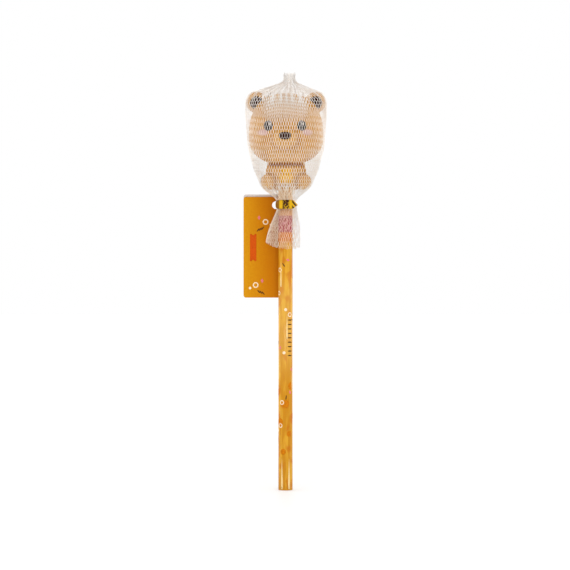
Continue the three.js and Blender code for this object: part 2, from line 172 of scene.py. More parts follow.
def set_inputs(tree: bpy.types.NodeTree, node: bpy.types.Node, inputs: dict) -> None:
    """Sets a node's values and links.

    Args:
        tree: The node tree.
        node: The node.
        inputs: Values, or sockets to link from, by the input's name or number.
    """
    for key, value in inputs.items():
        if isinstance(value, Socket):
            tree.links.new(value, node.inputs[key])
        else:
            node.inputs[key].default_value = value


def add_node(
    tree: bpy.types.NodeTree,
    kind: str,
    inputs: dict | None = None,
    stops: Sequence[tuple[float, Colour]] = (),
    **settings: object,
) -> bpy.types.Node:
    """Adds a node with its settings, values and links.

    Args:
        tree: The node tree that takes the node.
        kind: Blender's name for the node.
        inputs: Values, or sockets to link from, by the input's name or number.
        stops: Places and colours of a colour ramp.
        settings: Attributes of the node.

    Returns:
        The new node.
    """
    node = tree.nodes.new(kind)
    for name, value in settings.items():
        setattr(node, name, value)
    set_inputs(tree, node, inputs or {})
    if stops:
        elements = node.color_ramp.elements
        while len(elements) < len(stops):
            elements.new(1.0)
        for element, (place, colour) in zip(elements, stops):
            element.position = place
            element.color = colour
    return node


class Ink(Enum):
    """The flat inks of the prints."""

    CREAM = "#F1DDBB"
    UMBER = "#4B2D16"
    CORAL = "#DE7680"
    AMBER = "#C77409"
    # Pale straw for the barrel's painted highlight streaks.
    PAINTED_HIGHLIGHT = "#EBCB8A"
    VERMILION = "#C8500B"


class Motif(Enum):
    """The plain shapes that the prints are made of."""

    DOT = "dot"
    RING = "ring"
    DASH = "dash"
    DIAMOND = "diamond"
    FLAME = "flame"


@dataclass
class Surface:
    """The nodes of one material, in the order in which the real surface was made."""

    tree: bpy.types.NodeTree
    shader: bpy.types.Node

    def places(self) -> tuple[Socket, ...]:
        """Returns the sockets that give the place on the piece along X, Y and Z, in mm."""
        place = add_node(self.tree, "ShaderNodeTexCoord").outputs["Object"]
        scaling = {0: place, "Scale": 1 / MM}
        scaled = add_node(self.tree, "ShaderNodeVectorMath", scaling, operation="SCALE")
        return tuple(add_node(self.tree, "ShaderNodeSeparateXYZ", {0: scaled.outputs[0]}).outputs)

    def grain(self, spacing: Point, detail: float = 2.0, warp: float = 0.0) -> Socket:
        """Scatters grains of a real size over the piece.

        Args:
            spacing: The size of a grain along X, Y and Z, in mm.
            detail: How many finer layers it has.
            warp: How much it is bent.

        Returns:
            The socket that gives the pattern.
        """
        place = add_node(self.tree, "ShaderNodeTexCoord").outputs["Object"]
        scale = tuple(1 / (MM * size) for size in spacing)
        mapped = add_node(self.tree, "ShaderNodeMapping", {"Vector": place, "Scale": scale})
        noise = {"Vector": mapped.outputs[0], "Scale": 1.0, "Detail": detail, "Distortion": warp}
        return add_node(self.tree, "ShaderNodeTexNoise", noise).outputs["Fac"]

    def laid(
        self, under: Tone, over: Tone, pattern: Socket, span: Spot | None = None, most: float = 1.0
    ) -> Socket:
        """Lays a colour over another where a pattern rises.

        Args:
            under: The lower colour, as a hex colour, a linear one or a socket.
            over: The upper colour.
            pattern: Where the upper colour shows.
            span: The pattern's values for none and for most of it, if it isn't the share itself.
            most: The largest share of the upper colour.

        Returns:
            The socket that gives the colour.
        """
        if span is not None:
            rise = {"Value": pattern, "From Min": span[0], "From Max": span[1], "To Max": most}
            pattern = add_node(
                self.tree, "ShaderNodeMapRange", rise, interpolation_type="SMOOTHSTEP"
            ).outputs["Result"]
        under, over = (linear(tone) if isinstance(tone, str) else tone for tone in (under, over))
        layers = {0: pattern, 6: under, 7: over}
        return add_node(self.tree, "ShaderNodeMix", layers, data_type="RGBA").outputs[2]

    def finish(self, inputs: dict, relief: Socket | None = None, depth: float = 0.0) -> None:
        """Gives the shader its colour, its values and its relief.

        Args:
            inputs: Values, or sockets to link from, by the shader's input names.
            relief: A pattern that roughens the surface, if any.
            depth: The real depth of that pattern in mm.
        """
        set_inputs(self.tree, self.shader, inputs)
        if relief is not None:
            height = {"Height": relief, "Distance": depth * MM, "Strength": 1.0}
            bump = add_node(self.tree, "ShaderNodeBump", height)
            self.tree.links.new(bump.outputs[0], self.shader.inputs["Normal"])


@dataclass(frozen=True)
class Finish:
    """A surface finish, built once under its own name."""

    name: str

    def material(self) -> bpy.types.Material:
        """Returns the finish as a material."""
        found = bpy.data.materials.get(self.name)
        if found is None:
            found = bpy.data.materials.new(self.name)
            found.use_nodes = True
            tree = found.node_tree
            self.dress(Surface(tree, tree.nodes["Principled BSDF"]))
        return found

    def dress(self, surface: Surface) -> None:
        """Lays the finish on.

        Args:
            surface: The material's nodes.
        """
        raise NotImplementedError


@dataclass(frozen=True)
class PrintedLacquer(Finish):
    """Lacquered cedar with a rolled-on foil print: mottled gold that glints along the barrel."""

    gold: str = "#C28210"
    pale_gold: str = "#D59C28"
    faded: str = "#E4C272"
    amber: str = "#BF6C06"
    orange: str = "#D0781C"
    coral: str = "#A82E40"
    rose: str = "#D99A9E"
    peach: str = "#D69A62"
    pale_peach: str = "#E6BE92"

    def dress(self, surface: Surface) -> None:
        """Lays the gold, the coloured stretches of the upper end and the clear coat on.

        Args:
            surface: The material's nodes.
        """
        height = surface.places()[2]
        # Long brush strokes, 2 mm across and 16 mm long, lighten the gold.
        strokes = surface.grain((2.0, 2.0, 16.0), detail=3.0, warp=0.4)
        gold = surface.laid(self.gold, self.pale_gold, strokes, (0.4, 0.66))
        # Soft amber patches, about 4 mm across and 7 mm long, lie between the strokes.
        patches = surface.grain((3.6, 3.6, 6.5), detail=1.0)
        gold = surface.laid(gold, self.amber, patches, (0.52, 0.68), most=0.75)
        # The print fades to straw in the middle of the barrel.
        faded = surface.laid(gold, self.faded, height, (50.0, 75.0), most=0.18)
        colour = surface.laid(faded, gold, height, (100.0, 116.0))
        # A stretch of coral with rose flecks, 1.2 mm wide, sits under the net's skirt.
        flecks = surface.grain((1.2, 1.2, 1.7))
        coral = surface.laid(self.coral, self.rose, flecks, (0.5, 0.62), most=0.85)
        for stretch, edge in (
            (self.orange, (127.5, 130.5)),
            (coral, (133.5, 134.5)),
            (self.peach, (142.2, 143.0)),
            (self.pale_peach, (148.0, 150.0)),
        ):
            colour = surface.laid(colour, stretch, height, edge)
        # The thin clear coat hardly dims the gold, and its edges mirror the white set.
        inputs = {
            "Base Color": colour,
            "Roughness": 0.4,
            "Specular IOR Level": 0.0,
            "Coat Weight": 0.8,
            "Coat IOR": 1.3,
            "Coat Roughness": 0.1,
        }
        # The grain of the wood lifts the lacquer a little; 0.35 mm is as fine as shows.
        surface.finish(inputs, surface.grain((0.35, 0.35, 5.0)), 0.012)


@dataclass(frozen=True)
class BareCedar(Finish):
    """Sawn incense cedar at the barrel's ends: dry, pinkish, with fine rings."""

    pale: str = "#D9A878"
    dark: str = "#B9814F"

    def dress(self, surface: Surface) -> None:
        """Lays the growth rings on.

        Args:
            surface: The material's nodes.
        """
        # Growth rings show as bands about 0.6 mm apart.
        rings = surface.grain((0.6, 4.0, 20.0), detail=3.0, warp=0.6)
        colour = surface.laid(self.pale, self.dark, rings, (0.35, 0.65))
        surface.finish({"Base Color": colour, "Roughness": 0.8}, rings, 0.03)


@dataclass(frozen=True)
class Graphite(Finish):
    """Fired graphite and clay: dark grey, with a dull metallic sheen."""

    dark: str = "#2E2E31"
    sheen: str = "#4A4A4E"

    def dress(self, surface: Surface) -> None:
        """Lays the specks of graphite on.

        Args:
            surface: The material's nodes.
        """
        specks = surface.grain((0.2, 0.2, 0.4), detail=3.0)
        colour = surface.laid(self.dark, self.sheen, specks)
        surface.finish({"Base Color": colour, "Metallic": 0.35, "Roughness": 0.45}, specks, 0.01)


@dataclass(frozen=True)
class MouldedFoam(Finish):
    """Slow-rising polyurethane foam from a mould: soft, matte, with a skin of fine pores."""

    base: str = "#CB9748"
    shade: str = "#BF8A3A"
    blush: str = "#CCA8A2"
    # Painted light: a paler colour laid where the skin would be lit.
    light: str = "#DAAE68"
    # Painted shade: dark brown laid in the chin crease, in the feet's seams and round the muzzle.
    fold: str = "#854703"

    def dress(self, surface: Surface) -> None:
        """Lays the colours on by the channels of the skin's tint: sprayed blush, painted light and
        painted shade.

        Args:
            surface: The material's nodes.
        """
        # The colour drifts over about 7 mm, as sprayed colour does on a moulding.
        drift = surface.grain((7.0, 7.0, 7.0))
        colour = surface.laid(self.base, self.shade, drift, (0.35, 0.7))
        tint = add_node(surface.tree, "ShaderNodeAttribute", attribute_name="tint")
        shares = add_node(surface.tree, "ShaderNodeSeparateColor", {0: tint.outputs["Color"]})
        # Green lays painted light, red the sprayed blush, and blue painted shade.
        for channel, tint_tone in (("Green", self.light), ("Red", self.blush), ("Blue", self.fold)):
            colour = surface.laid(colour, tint_tone, shares.outputs[channel])
        inputs = {
            "Base Color": colour,
            "Roughness": 0.78,
            "Specular IOR Level": 0.1,
            "Subsurface Weight": 0.12,
            "Subsurface Radius": (1.0, 0.55, 0.3),
            "Subsurface Scale": 1.0 * MM,
        }
        # Pores are about 0.3 mm across.
        surface.finish(inputs, surface.grain((0.3, 0.3, 0.3)), 0.03)


@dataclass(frozen=True)
class SprayedPaint(Finish):
    """Thin paint on foam, stencilled and sprayed: satin, with the foam's pores showing through."""

    colour: str = "#331609"
    worn: str = "#442210"
    roughness: float = 0.38

    def dress(self, surface: Surface) -> None:
        """Lays the paint on, thinner over the pores.

        Args:
            surface: The material's nodes.
        """
        pores = surface.grain((0.35, 0.35, 0.35))
        colour = surface.laid(self.colour, self.worn, pores, (0.4, 0.7))
        inputs = {"Base Color": colour, "Roughness": self.roughness, "Specular IOR Level": 0.1}
        surface.finish(inputs, pores, 0.02)


@dataclass(frozen=True)
class KnittedNylon(Finish):
    """Warp-knitted nylon net: white threads of many filaments, slightly see-through and silky."""

    white: str = "#F6F0E8"
    shade: str = "#EADFD5"
    # Painted bounce light: a warm tint on the yarn at the neck and in the skirt.
    painted_bounce: str = "#F8D3A0"
    bounce_top: float = 157.5

    def dress(self, surface: Surface) -> None:
        """Lays the yarn's shades on.

        Args:
            surface: The material's nodes.
        """
        # Loops of yarn follow each other every 0.7 mm.
        loops = surface.grain((0.35, 0.35, 0.7))
        yarn = surface.laid(self.white, self.shade, loops, (0.4, 0.7))
        # Painted bounce light: the yarn at the neck and in the skirt is tinted with the gold that
        # barrel and card would bounce onto it.
        across, _, height = surface.places()
        bunched = (self.bounce_top, self.bounce_top - 3.0)
        bounced = surface.laid(yarn, self.painted_bounce, height, bunched, most=0.6)
        # At the right it stands away from both, so there the painted bounce light fades out.
        colour = surface.laid(bounced, yarn, across, (3.8, 6.3))
        # Light passes about half a millimetre through the filaments.
        inputs = {
            "Base Color": colour,
            "Roughness": 0.6,
            "Specular IOR Level": 0.2,
            "Subsurface Weight": 0.7,
            "Subsurface Radius": (1.0, 0.95, 0.9),
            "Subsurface Scale": 0.5 * MM,
            "Sheen Weight": 0.1,
            "Sheen Roughness": 0.5,
        }
        surface.finish(inputs, loops, 0.02)


@dataclass(frozen=True)
class PrintedRibbon(Finish):
    """Coated polyester ribbon with a dark flecked print: satin, with pale glints at its bends."""

    yellow: str = "#DAAE0E"
    deep: str = "#C8960A"
    dark: str = "#3A1B0A"
    # Painted shade at the end that turns into the tag's hole.
    turned: str = "#6E3A08"
    fleck_span: Spot = (-1.5, 1.9)
    stripe_start: float = 3.4
    stripe_width: float = 0.877
    turn_end: float = -3.6

    def dress(self, surface: Surface) -> None:
        """Lays the weave, the painted shade where it turns into the hole, the flecks and the
        stripes on.

        Args:
            surface: The material's nodes.
        """
        weave = surface.grain((0.25, 0.25, 0.25), detail=1.0)
        ground = surface.laid(self.yellow, self.deep, weave)
        across = surface.places()[0]
        # Painted shade: the ribbon is darkened to brown where it turns into the tag's hole.
        shade_edge = (self.turn_end + 0.7, self.turn_end)
        ground = surface.laid(ground, self.turned, across, shade_edge, most=0.85)
        # Dark flecks of about 0.7 mm gather in the middle of the front.
        flecks = surface.grain((0.7, 0.7, 0.7), detail=0.0)
        left, right = self.fleck_span
        flecked = surface.laid(ground, self.dark, flecks, (0.33, 0.39))
        flecked = surface.laid(ground, flecked, across, (left - 0.5, left + 0.5))
        printed = surface.laid(flecked, ground, across, (right - 0.5, right + 0.5))
        # Slanting stripes, 0.9 mm wide and as far apart, run out to the right-hand end.
        slanted = {
            "Vector": add_node(surface.tree, "ShaderNodeTexCoord").outputs["Object"],
            "Rotation": (0.0, math.radians(40), 0.0),
            "Scale": (WAVE_RUN / (2 * self.stripe_width * MM),) * 3,
        }
        place = add_node(surface.tree, "ShaderNodeMapping", slanted).outputs[0]
        wave = {"Vector": place, "Scale": 1.0, "Distortion": 0.4}
        bars = add_node(surface.tree, "ShaderNodeTexWave", wave, bands_direction="X")
        striped = surface.laid(printed, self.dark, bars.outputs["Fac"], (0.4, 0.6))
        edge = (self.stripe_start - 0.3, self.stripe_start + 0.3)
        inputs = {
            "Base Color": surface.laid(printed, striped, across, edge),
            "Roughness": 0.4,
            "Specular IOR Level": 0.08,
            "Coat Weight": 0.08,
            "Coat Roughness": 0.15,
        }
        surface.finish(inputs, weave, 0.015)


@dataclass(frozen=True)
class CoatedCard(Finish):
    """Folding boxboard, printed and varnished on one face and bare on the other, where its white is
    greyed with painted shade.
    """

    printed_side: float = -1.0
    left: float = -21.95
    right: float = 2.05
    bottom: float = 100.0
    top: float = 152.7
    gold: str = "#C98C10"
    ochre: str = "#C07603"
    rust: str = "#B76301"
    # The bare white board, greyed with painted shade.
    shaded_board: str = "#CBC2BD"

    def dress(self, surface: Surface) -> None:
        """Lays the printed wash on one face and leaves the board bare on the other, greyed with
        painted shade.

        Args:
            surface: The material's nodes.
        """
        across, _, upward = surface.places()
        shares = [
            add_node(
                surface.tree,
                "ShaderNodeMapRange",
                {"Value": place, "From Min": low, "From Max": high, "To Min": start, "To Max": end},
            ).outputs["Result"]
            for place, low, high, start, end in (
                (across, self.left, self.right, 0.0, 1.0),
                (upward, self.bottom, self.top, 0.72, 1.05),
            )
        ]
        slant = add_node(
            surface.tree, "ShaderNodeMath", dict(enumerate(shares)), operation="MULTIPLY"
        ).outputs[0]
        stops = [(0.0, linear(self.gold)), (0.42, linear(self.ochre)), (0.85, linear(self.rust))]
        wash = add_node(surface.tree, "ShaderNodeValToRGB", {0: slant}, stops).outputs[0]
        # Halftone grain is drawn at 0.5 mm, coarser than it is, so that it shows.
        halftone = surface.grain((0.5, 0.5, 0.5))
        printed = surface.laid(wash, self.rust, halftone, (0.35, 0.75), most=0.35)
        normal = add_node(surface.tree, "ShaderNodeTexCoord").outputs["Normal"]
        facing = add_node(surface.tree, "ShaderNodeSeparateXYZ", {0: normal}).outputs["Y"]
        outward = (0.4 * self.printed_side, 0.6 * self.printed_side)
        inputs = {
            "Base Color": surface.laid(self.shaded_board, printed, facing, outward),
            "Roughness": 0.55,
            "Specular IOR Level": 0.05,
        }
        # Fibres of the board show as fine streaks under the varnish.
        surface.finish(inputs, surface.grain((0.3, 0.3, 1.4), detail=3.0), 0.008)


@dataclass(frozen=True)
class PrintInk(Finish):
    """Offset ink under varnish: flat colour with a slight mottle where the ink lies thin."""

    ink: Ink = Ink.CREAM
    thin: float = 0.82

    def dress(self, surface: Surface) -> None:
        """Lays the ink on.

        Args:
            surface: The material's nodes.
        """
        full = linear(self.ink.value)
        thin = (*(self.thin * share for share in full[:3]), 1.0)
        colour = surface.laid(full, thin, surface.grain((0.6, 0.6, 0.6)), (0.4, 0.75))
        surface.finish({"Base Color": colour, "Roughness": 0.5, "Specular IOR Level": 0.05})


@dataclass(frozen=True)
class MattPaper(Finish):
    """White studio paper under the object: matt, with a faint tooth."""

    white: str = "#DCDCDC"
    near: float = 60.0
    far: float = 900.0
    near_glow: float = 0.14
    far_glow: float = 0.42

    def dress(self, surface: Surface) -> None:
        """Lays the paper's white on, with a painted glow that is weaker near the object.

        Args:
            surface: The material's nodes.
        """
        # Painted light: the paper glows, weakly near the object and more so far from it, so that it
        # is white far off and the object's shade still shows near it.
        place = add_node(surface.tree, "ShaderNodeTexCoord").outputs["Object"]
        away = add_node(surface.tree, "ShaderNodeVectorMath", {0: place}, operation="LENGTH")
        rise = {
            "Value": away.outputs["Value"],
            "From Min": self.near * MM,
            "From Max": self.far * MM,
            "To Min": self.near_glow,
            "To Max": self.far_glow,
        }
        inputs = {
            "Base Color": linear(self.white),
            "Roughness": 0.45,
            "Specular IOR Level": 0.06,
            "Emission Color": (1.0, 1.0, 1.0, 1.0),
            "Emission Strength": add_node(surface.tree, "ShaderNodeMapRange", rise).outputs[0],
        }
        surface.finish(inputs, surface.grain((1.5, 1.5, 1.5)), 0.01)


@dataclass
class MeshData:
    """Points in mm and faces with their material numbers, gathered before a mesh is made."""

    points: list[Point] = field(default_factory=list)
    faces: list[Face] = field(default_factory=list)
    slots: list[int] = field(default_factory=list)
    crisp: list[bool] = field(default_factory=list)

    def add(self, points: Sequence[Point], faces: Sequence[Face] = ()) -> None:
        """Joins more points and smooth faces of the first material on.

        Args:
            points: Points in mm.
            faces: Faces that number those points.
        """
        start = len(self.points)
        self.points.extend(tuple(float(v) for v in point) for point in points)
        for face in faces:
            self.face(tuple(start + i for i in face))

    def face(self, numbers: Face, slot: int = 0, crisp: bool = False) -> None:
        """Joins one face on.

        Args:
            numbers: The face's points, by their numbers.
            slot: Its material number.
            crisp: Whether it is shaded flat.
        """
        self.faces.append(numbers)
        self.slots.append(slot)
        self.crisp.append(crisp)

    def object(self, name: str, *finishes: Finish) -> bpy.types.Object:
        """Makes a Blender object, in metres.

        Args:
            name: The object's name.
            finishes: Its finishes, by material number.

        Returns:
            The object, linked to the scene.
        """
        mesh = bpy.data.meshes.new(name)
        mesh.from_pydata([tuple(v * MM for v in point) for point in self.points], [], self.faces)
        for finish in finishes:
            mesh.materials.append(finish.material())
        mesh.polygons.foreach_set("material_index", self.slots)
        mesh.polygons.foreach_set("use_smooth", [not crisp for crisp in self.crisp])
        mesh.update()
        made = bpy.data.objects.new(name, mesh)
        bpy.context.scene.collection.objects.link(made)
        return made


def circle(steps: int) -> list[Spot]:
    """Returns points round a circle of radius 1."""
    turns = [FULL_TURN * i / steps for i in range(steps)]
    return [(math.cos(turn), math.sin(turn)) for turn in turns]


def grid_faces(rows: int, columns: int, looped: bool = False) -> list[Face]:
    """Numbers the faces between rings of points, ring by ring.

    Args:
        rows: How many rings there are.
        columns: How many points a ring has.
        looped: Whether the last ring meets the first.

    Returns:
        The faces.
    """
    faces = []
    for row in range(rows if looped else rows - 1):
        near, far = row * columns, (row + 1) % rows * columns
        for i in range(columns):
            j = (i + 1) % columns
            faces.append((near + i, near + j, far + j, far + i))
    return faces


def tube_faces(rows: int, columns: int) -> list[Face]:
    """Numbers the faces between rings of points and the two that close their ends.

    Args:
        rows: How many rings there are.
        columns: How many points a ring has.

    Returns:
        The faces.
    """
    ends = [tuple(reversed(range(columns))), tuple(range((rows - 1) * columns, rows * columns))]
    return grid_faces(rows, columns) + ends


def settle(piece: bpy.types.Object) -> None:
    """Applies a piece's modifiers to its mesh.

    Args:
        piece: The piece to settle.
    """
    graph = bpy.context.evaluated_depsgraph_get()
    mesh = bpy.data.meshes.new_from_object(piece.evaluated_get(graph))
    piece.modifiers.clear()
    piece.data = mesh


def seat(piece: bpy.types.Object, nodes: Sequence[str] = (), body: str = "") -> None:
    """Gives a piece its place among the CAD's bodies and nodes, and reports it.

    Args:
        piece: The piece.
        nodes: The CAD nodes that it stands for.
        body: The body that it rides, if any.
    """
    if body:
        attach(piece, body)
    if nodes:
        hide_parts(*nodes)
    LOG.info("%s: %d faces", piece.name, len(piece.data.polygons))


def dress_node(node: bpy.types.Object, finish: Finish) -> None:
    """Puts a finish on a CAD node that the scene shows as it is.

    Args:
        node: The CAD node.
        finish: Its finish.
    """
    node.data.materials.clear()
    node.data.materials.append(finish.material())
    LOG.info("%s: dressed", node.name)


@dataclass
class Patch:
    """A thin closed patch on a surface: rings of points out over its face and back under it."""

    outline: Callable[[float], Spot]
    rings: int = 6
    steps: int = 32
    hollow: float = 0.02

    def into(
        self, data: MeshData, place: Placing, slot_of: Callable[[float, float], int] | None = None
    ) -> None:
        """Adds the patch to gathered mesh data.

        Args:
            data: The mesh data.
            place: Gives the upper and lower point for a place and its share of the way out.
            slot_of: Gives a face's material number from its place, where there are several.
        """
        rim = [self.outline(FULL_TURN * i / self.steps) for i in range(self.steps)]
        out = np.linspace(self.hollow, 1.0, self.rings + 1)
        rows = [(share, layer) for layer, way in enumerate((out, out[::-1])) for share in way]
        flat = [(u * share, v * share) for share, _ in rows for u, v in rim]
        start = len(data.points)
        data.add(
            [place(u * share, v * share, share)[layer] for share, layer in rows for u, v in rim]
        )
        for k, face in enumerate(grid_faces(len(rows), self.steps, looped=True)):
            wall = (k // self.steps + 1) % len(out) == 0
            middle = [sum(flat[i][axis] for i in face) / len(face) for axis in range(2)]
            slot = slot_of(*middle) if slot_of is not None else 0
            data.face(tuple(start + i for i in reversed(face)), slot, crisp=wall)


def motif_patch(motif: Motif, size: float, turn: float = 0.0) -> Patch:
    """Draws one plain shape of a print.

    Args:
        motif: Which shape it is.
        size: Its radius, or half its length, in mm.
        turn: How far it leans, in radians.

    Returns:
        The shape as a patch.
    """
    slim = {Motif.DASH: 0.24, Motif.DIAMOND: 0.62, Motif.FLAME: 0.06}.get(motif, 1.0)

    def outline(angle: float) -> Spot:
        """Draws the shape's rim.

        Args:
            angle: The direction from the shape's middle, in radians.

        Returns:
            The rim's place across and along, in mm.
        """
        u, v = math.cos(angle), math.sin(angle)
        if motif is Motif.DIAMOND:
            reach = 1 / (abs(u) + abs(v))
            u, v = u * reach, v * reach
        across, along = size * slim * u, size * v
        if motif is Motif.FLAME:
            across = size * slim * math.copysign(abs(u) ** 0.4, u) * (0.85 - 0.75 * v)
        cos, sin = math.cos(turn), math.sin(turn)
        return across * cos - along * sin, across * sin + along * cos

    return Patch(outline, rings=3, steps=28, hollow=0.62 if motif is Motif.RING else 0.02)


def print_pieces(thing: str, prints: dict[Ink, MeshData], body: str) -> None:
    """Makes the pieces of a print, one for each ink.

    Args:
        thing: What the print is on.
        prints: The printed shapes by ink.
        body: The body that the print rides.
    """
    for ink, data in prints.items():
        name = ink.name.lower()
        finish = PrintInk(f"offset_ink_{name}", ink)
        seat(data.object(f"{thing}_print_{name}", finish), body=body)


@dataclass(frozen=True)
class MotifRow:
    """A run of motifs along or round the barrel; its angles are degrees from the front."""

    ink: Ink
    motif: Motif
    count: int
    size: float
    first_angle: float
    first_height: float
    turn: float = 0.0
    pitch: float = 0.0
    growth: float = 0.0
    lean: float = 0.0


@dataclass
class Pencil:
    """The round pencil: a lacquered cedar barrel round a graphite lead."""

    radius: float = 3.72
    length: float = 180.0
    lead_radius: float = 1.1
    glue_line: float = 0.1
    edge: float = 0.12
    steps: int = 96
    print_height: float = 0.02
    golden_turn: float = 137.5
    # Pale straw strokes round the foot and glints further up, which are painted highlight streaks;
    # a ladder of level dashes, and spots.
    rows: tuple[MotifRow, ...] = (
        MotifRow(Ink.PAINTED_HIGHLIGHT, Motif.FLAME, 6, 8.0, 30, 8.4, turn=60),
        MotifRow(Ink.PAINTED_HIGHLIGHT, Motif.FLAME, 7, 6.5, -40, 112.0, golden_turn, -9.0, growth=1.5),
        MotifRow(Ink.UMBER, Motif.DASH, 9, 1.3, 38, 70.0, pitch=2.3, lean=90),
        MotifRow(Ink.AMBER, Motif.DOT, 12, 1.5, -20, 20.0, golden_turn, 3.1, growth=0.25),
    )
    clusters: int = 11
    cluster_top: float = 117.0
    cluster_pitch: float = 8.6
    cluster_start: float = -15
    # The motifs of a cluster are this far apart: radians round the barrel and mm up it.
    cluster_turn: float = 0.62
    cluster_rise: float = 2.6
    cluster_motifs: tuple[tuple[Motif, Ink, float], ...] = (
        (Motif.RING, Ink.CREAM, 1.2),
        (Motif.DASH, Ink.UMBER, 1.2),
        (Motif.DIAMOND, Ink.CORAL, 1.1),
        (Motif.DOT, Ink.CREAM, 0.8),
    )

    def build(self, nodes: dict[str, bpy.types.Object]) -> None:
        """Builds the barrel and its print, and dresses the lead.

        Args:
            nodes: The CAD nodes by name.
        """
        slats = ("barrel_front_slat", "barrel_back_slat")
        seat(self.barrel(), slats, "pencil")
        print_pieces("barrel", self.prints(), "pencil")
        dress_node(nodes["graphite_lead"], Graphite("fired_graphite"))

    def barrel(self) -> bpy.types.Object:
        """Returns the barrel, with eased rims and bare wood at its ends and in its bore."""
        bore = self.lead_radius + self.glue_line
        inner, outer = self.radius - self.edge, self.radius
        profile = [
            (bore, self.length),
            (bore, 0.0),
            (inner, 0.0),
            (outer, self.edge),
            (outer, self.length - self.edge),
            (inner, self.length),
        ]
        data = MeshData()
        data.add([(r * x, r * y, z) for r, z in profile for x, y in circle(self.steps)])
        for k, face in enumerate(grid_faces(len(profile), self.steps, looped=True)):
            bare = k // self.steps in (0, 1, len(profile) - 1)
            data.face(face, int(bare), crisp=bare)
        return data.object("barrel", PrintedLacquer("printed_lacquer"), BareCedar("bare_cedar"))

    def prints(self) -> dict[Ink, MeshData]:
        """Returns the barrel's small motifs, by ink."""
        inks = (Ink.CREAM, Ink.UMBER, Ink.CORAL, Ink.AMBER, Ink.PAINTED_HIGHLIGHT)
        found = {ink: MeshData() for ink in inks}
        for row in self.rows:
            for k in range(row.count):
                size = row.size + row.growth * (k % 3)
                patch = motif_patch(row.motif, size, math.radians(row.lean))
                angle = math.radians(row.first_angle + k * row.turn)
                self.stamp(found[row.ink], patch, angle, row.first_height + k * row.pitch)
        for k in range(self.clusters):
            middle = math.radians(self.cluster_start + k * self.golden_turn)
            height = self.cluster_top - k * self.cluster_pitch
            for n in range(3):
                motif, ink, size = self.cluster_motifs[(k + n) % len(self.cluster_motifs)]
                patch = motif_patch(motif, size, math.radians(35 * n - 20 * (k % 3)))
                angle = middle + self.cluster_turn * (n - 1)
                rise = self.cluster_rise * (n - 1) * (-1) ** k
                self.stamp(found[ink], patch, angle, height + rise)
        return found

    def stamp(self, data: MeshData, patch: Patch, angle: float, height: float) -> None:
        """Wraps a flat shape round the barrel.

        Args:
            data: Where the shape goes.
            patch: The shape.
            angle: Its middle's direction from the front, in radians.
            height: Its middle's height in mm.
        """

        def place(u: float, v: float, _: float) -> tuple[Point, Point]:
            """Wraps a place on the shape round the barrel.

            Args:
                u: How far round it is from the shape's middle, in mm.
                v: How far up it is.

            Returns:
                The ink's upper and lower point.
            """
            turned = angle + u / self.radius
            x, y = math.sin(turned), -math.cos(turned)
            upper, lower = self.radius + self.print_height, self.radius - self.print_height
            return (x * upper, y * upper, height + v), (x * lower, y * lower, height + v)

        patch.into(data, place)


@dataclass(frozen=True)
class Lobe:
    """A rounded swelling of the foam, with up and down its heights over and under its widest."""

    x: float
    y: float
    z: float
    width: float
    depth: float
    up: float
    down: float
    fullness: float = 2.0

    def grown(self, room: float) -> "Lobe":
        """Returns the lobe with some room all round."""
        sizes = {name: getattr(self, name) + room for name in ("width", "depth", "up", "down")}
        return replace(self, **sizes)

    def share(self, z: float) -> float:
        """Returns how wide the lobe is at a height, as a share of its widest."""
        level = min(abs(z - self.z) / (self.up if z > self.z else self.down), 1.0)
        return (1 - level**self.fullness) ** (1 / self.fullness)

    def front(self, x: float, z: float) -> float:
        """Returns the Y of the lobe's front at a place, or of its widest line beyond its rim."""
        inside = self.share(z) ** 2 - ((x - self.x) / self.width) ** 2
        return self.y - self.depth * math.sqrt(max(inside, 0.0))

    def holds(self, x: float, y: float, z: float) -> bool:
        """Returns whether a point lies in the lobe."""
        across, along = (x - self.x) / self.width, (y - self.y) / self.depth
        return across**2 + along**2 < self.share(z) ** 2

    def offset(self, x: np.ndarray, y: np.ndarray, z: np.ndarray) -> np.ndarray:
        """Returns about how far points stand off the lobe's surface.

        Args:
            x: How far to the right they are, in mm.
            y: How far back they are, in mm.
            z: Their heights in mm.

        Returns:
            The distances in mm.
        """
        flat = np.hypot((x - self.x) / self.width, (y - self.y) / self.depth)
        level = abs(z - self.z) / np.where(z > self.z, self.up, self.down)
        out = (flat**self.fullness + level**self.fullness) ** (1 / self.fullness)
        return (out - 1) * min(self.width, self.depth, self.up, self.down)

    def into(self, data: MeshData, steps: int) -> None:
        """Adds the lobe as a closed body.

        Args:
            data: Where it goes.
            steps: How many facets go round it.
        """
        rows = steps // 2
        points: list[Point] = [(self.x, self.y, self.z - self.down)]
        for row in range(1, rows):
            tilt = math.pi * (row / rows - 0.5)
            flat = math.cos(tilt) ** (2 / self.fullness)
            rise = math.copysign(abs(math.sin(tilt)) ** (2 / self.fullness), tilt)
            height = self.z + rise * (self.up if tilt > 0 else self.down)
            width, depth = self.width * flat, self.depth * flat
            points += [(self.x + width * u, self.y + depth * v, height) for u, v in circle(steps)]
        points.append((self.x, self.y, self.z + self.up))
        top = len(points) - 1
        faces = [tuple(1 + i for i in face) for face in grid_faces(rows - 1, steps)]
        for i in range(steps):
            faces.append((0, 1 + (i + 1) % steps, 1 + i))
            faces.append((top, top - steps + i, top - steps + (i + 1) % steps))
        data.add(points, faces)


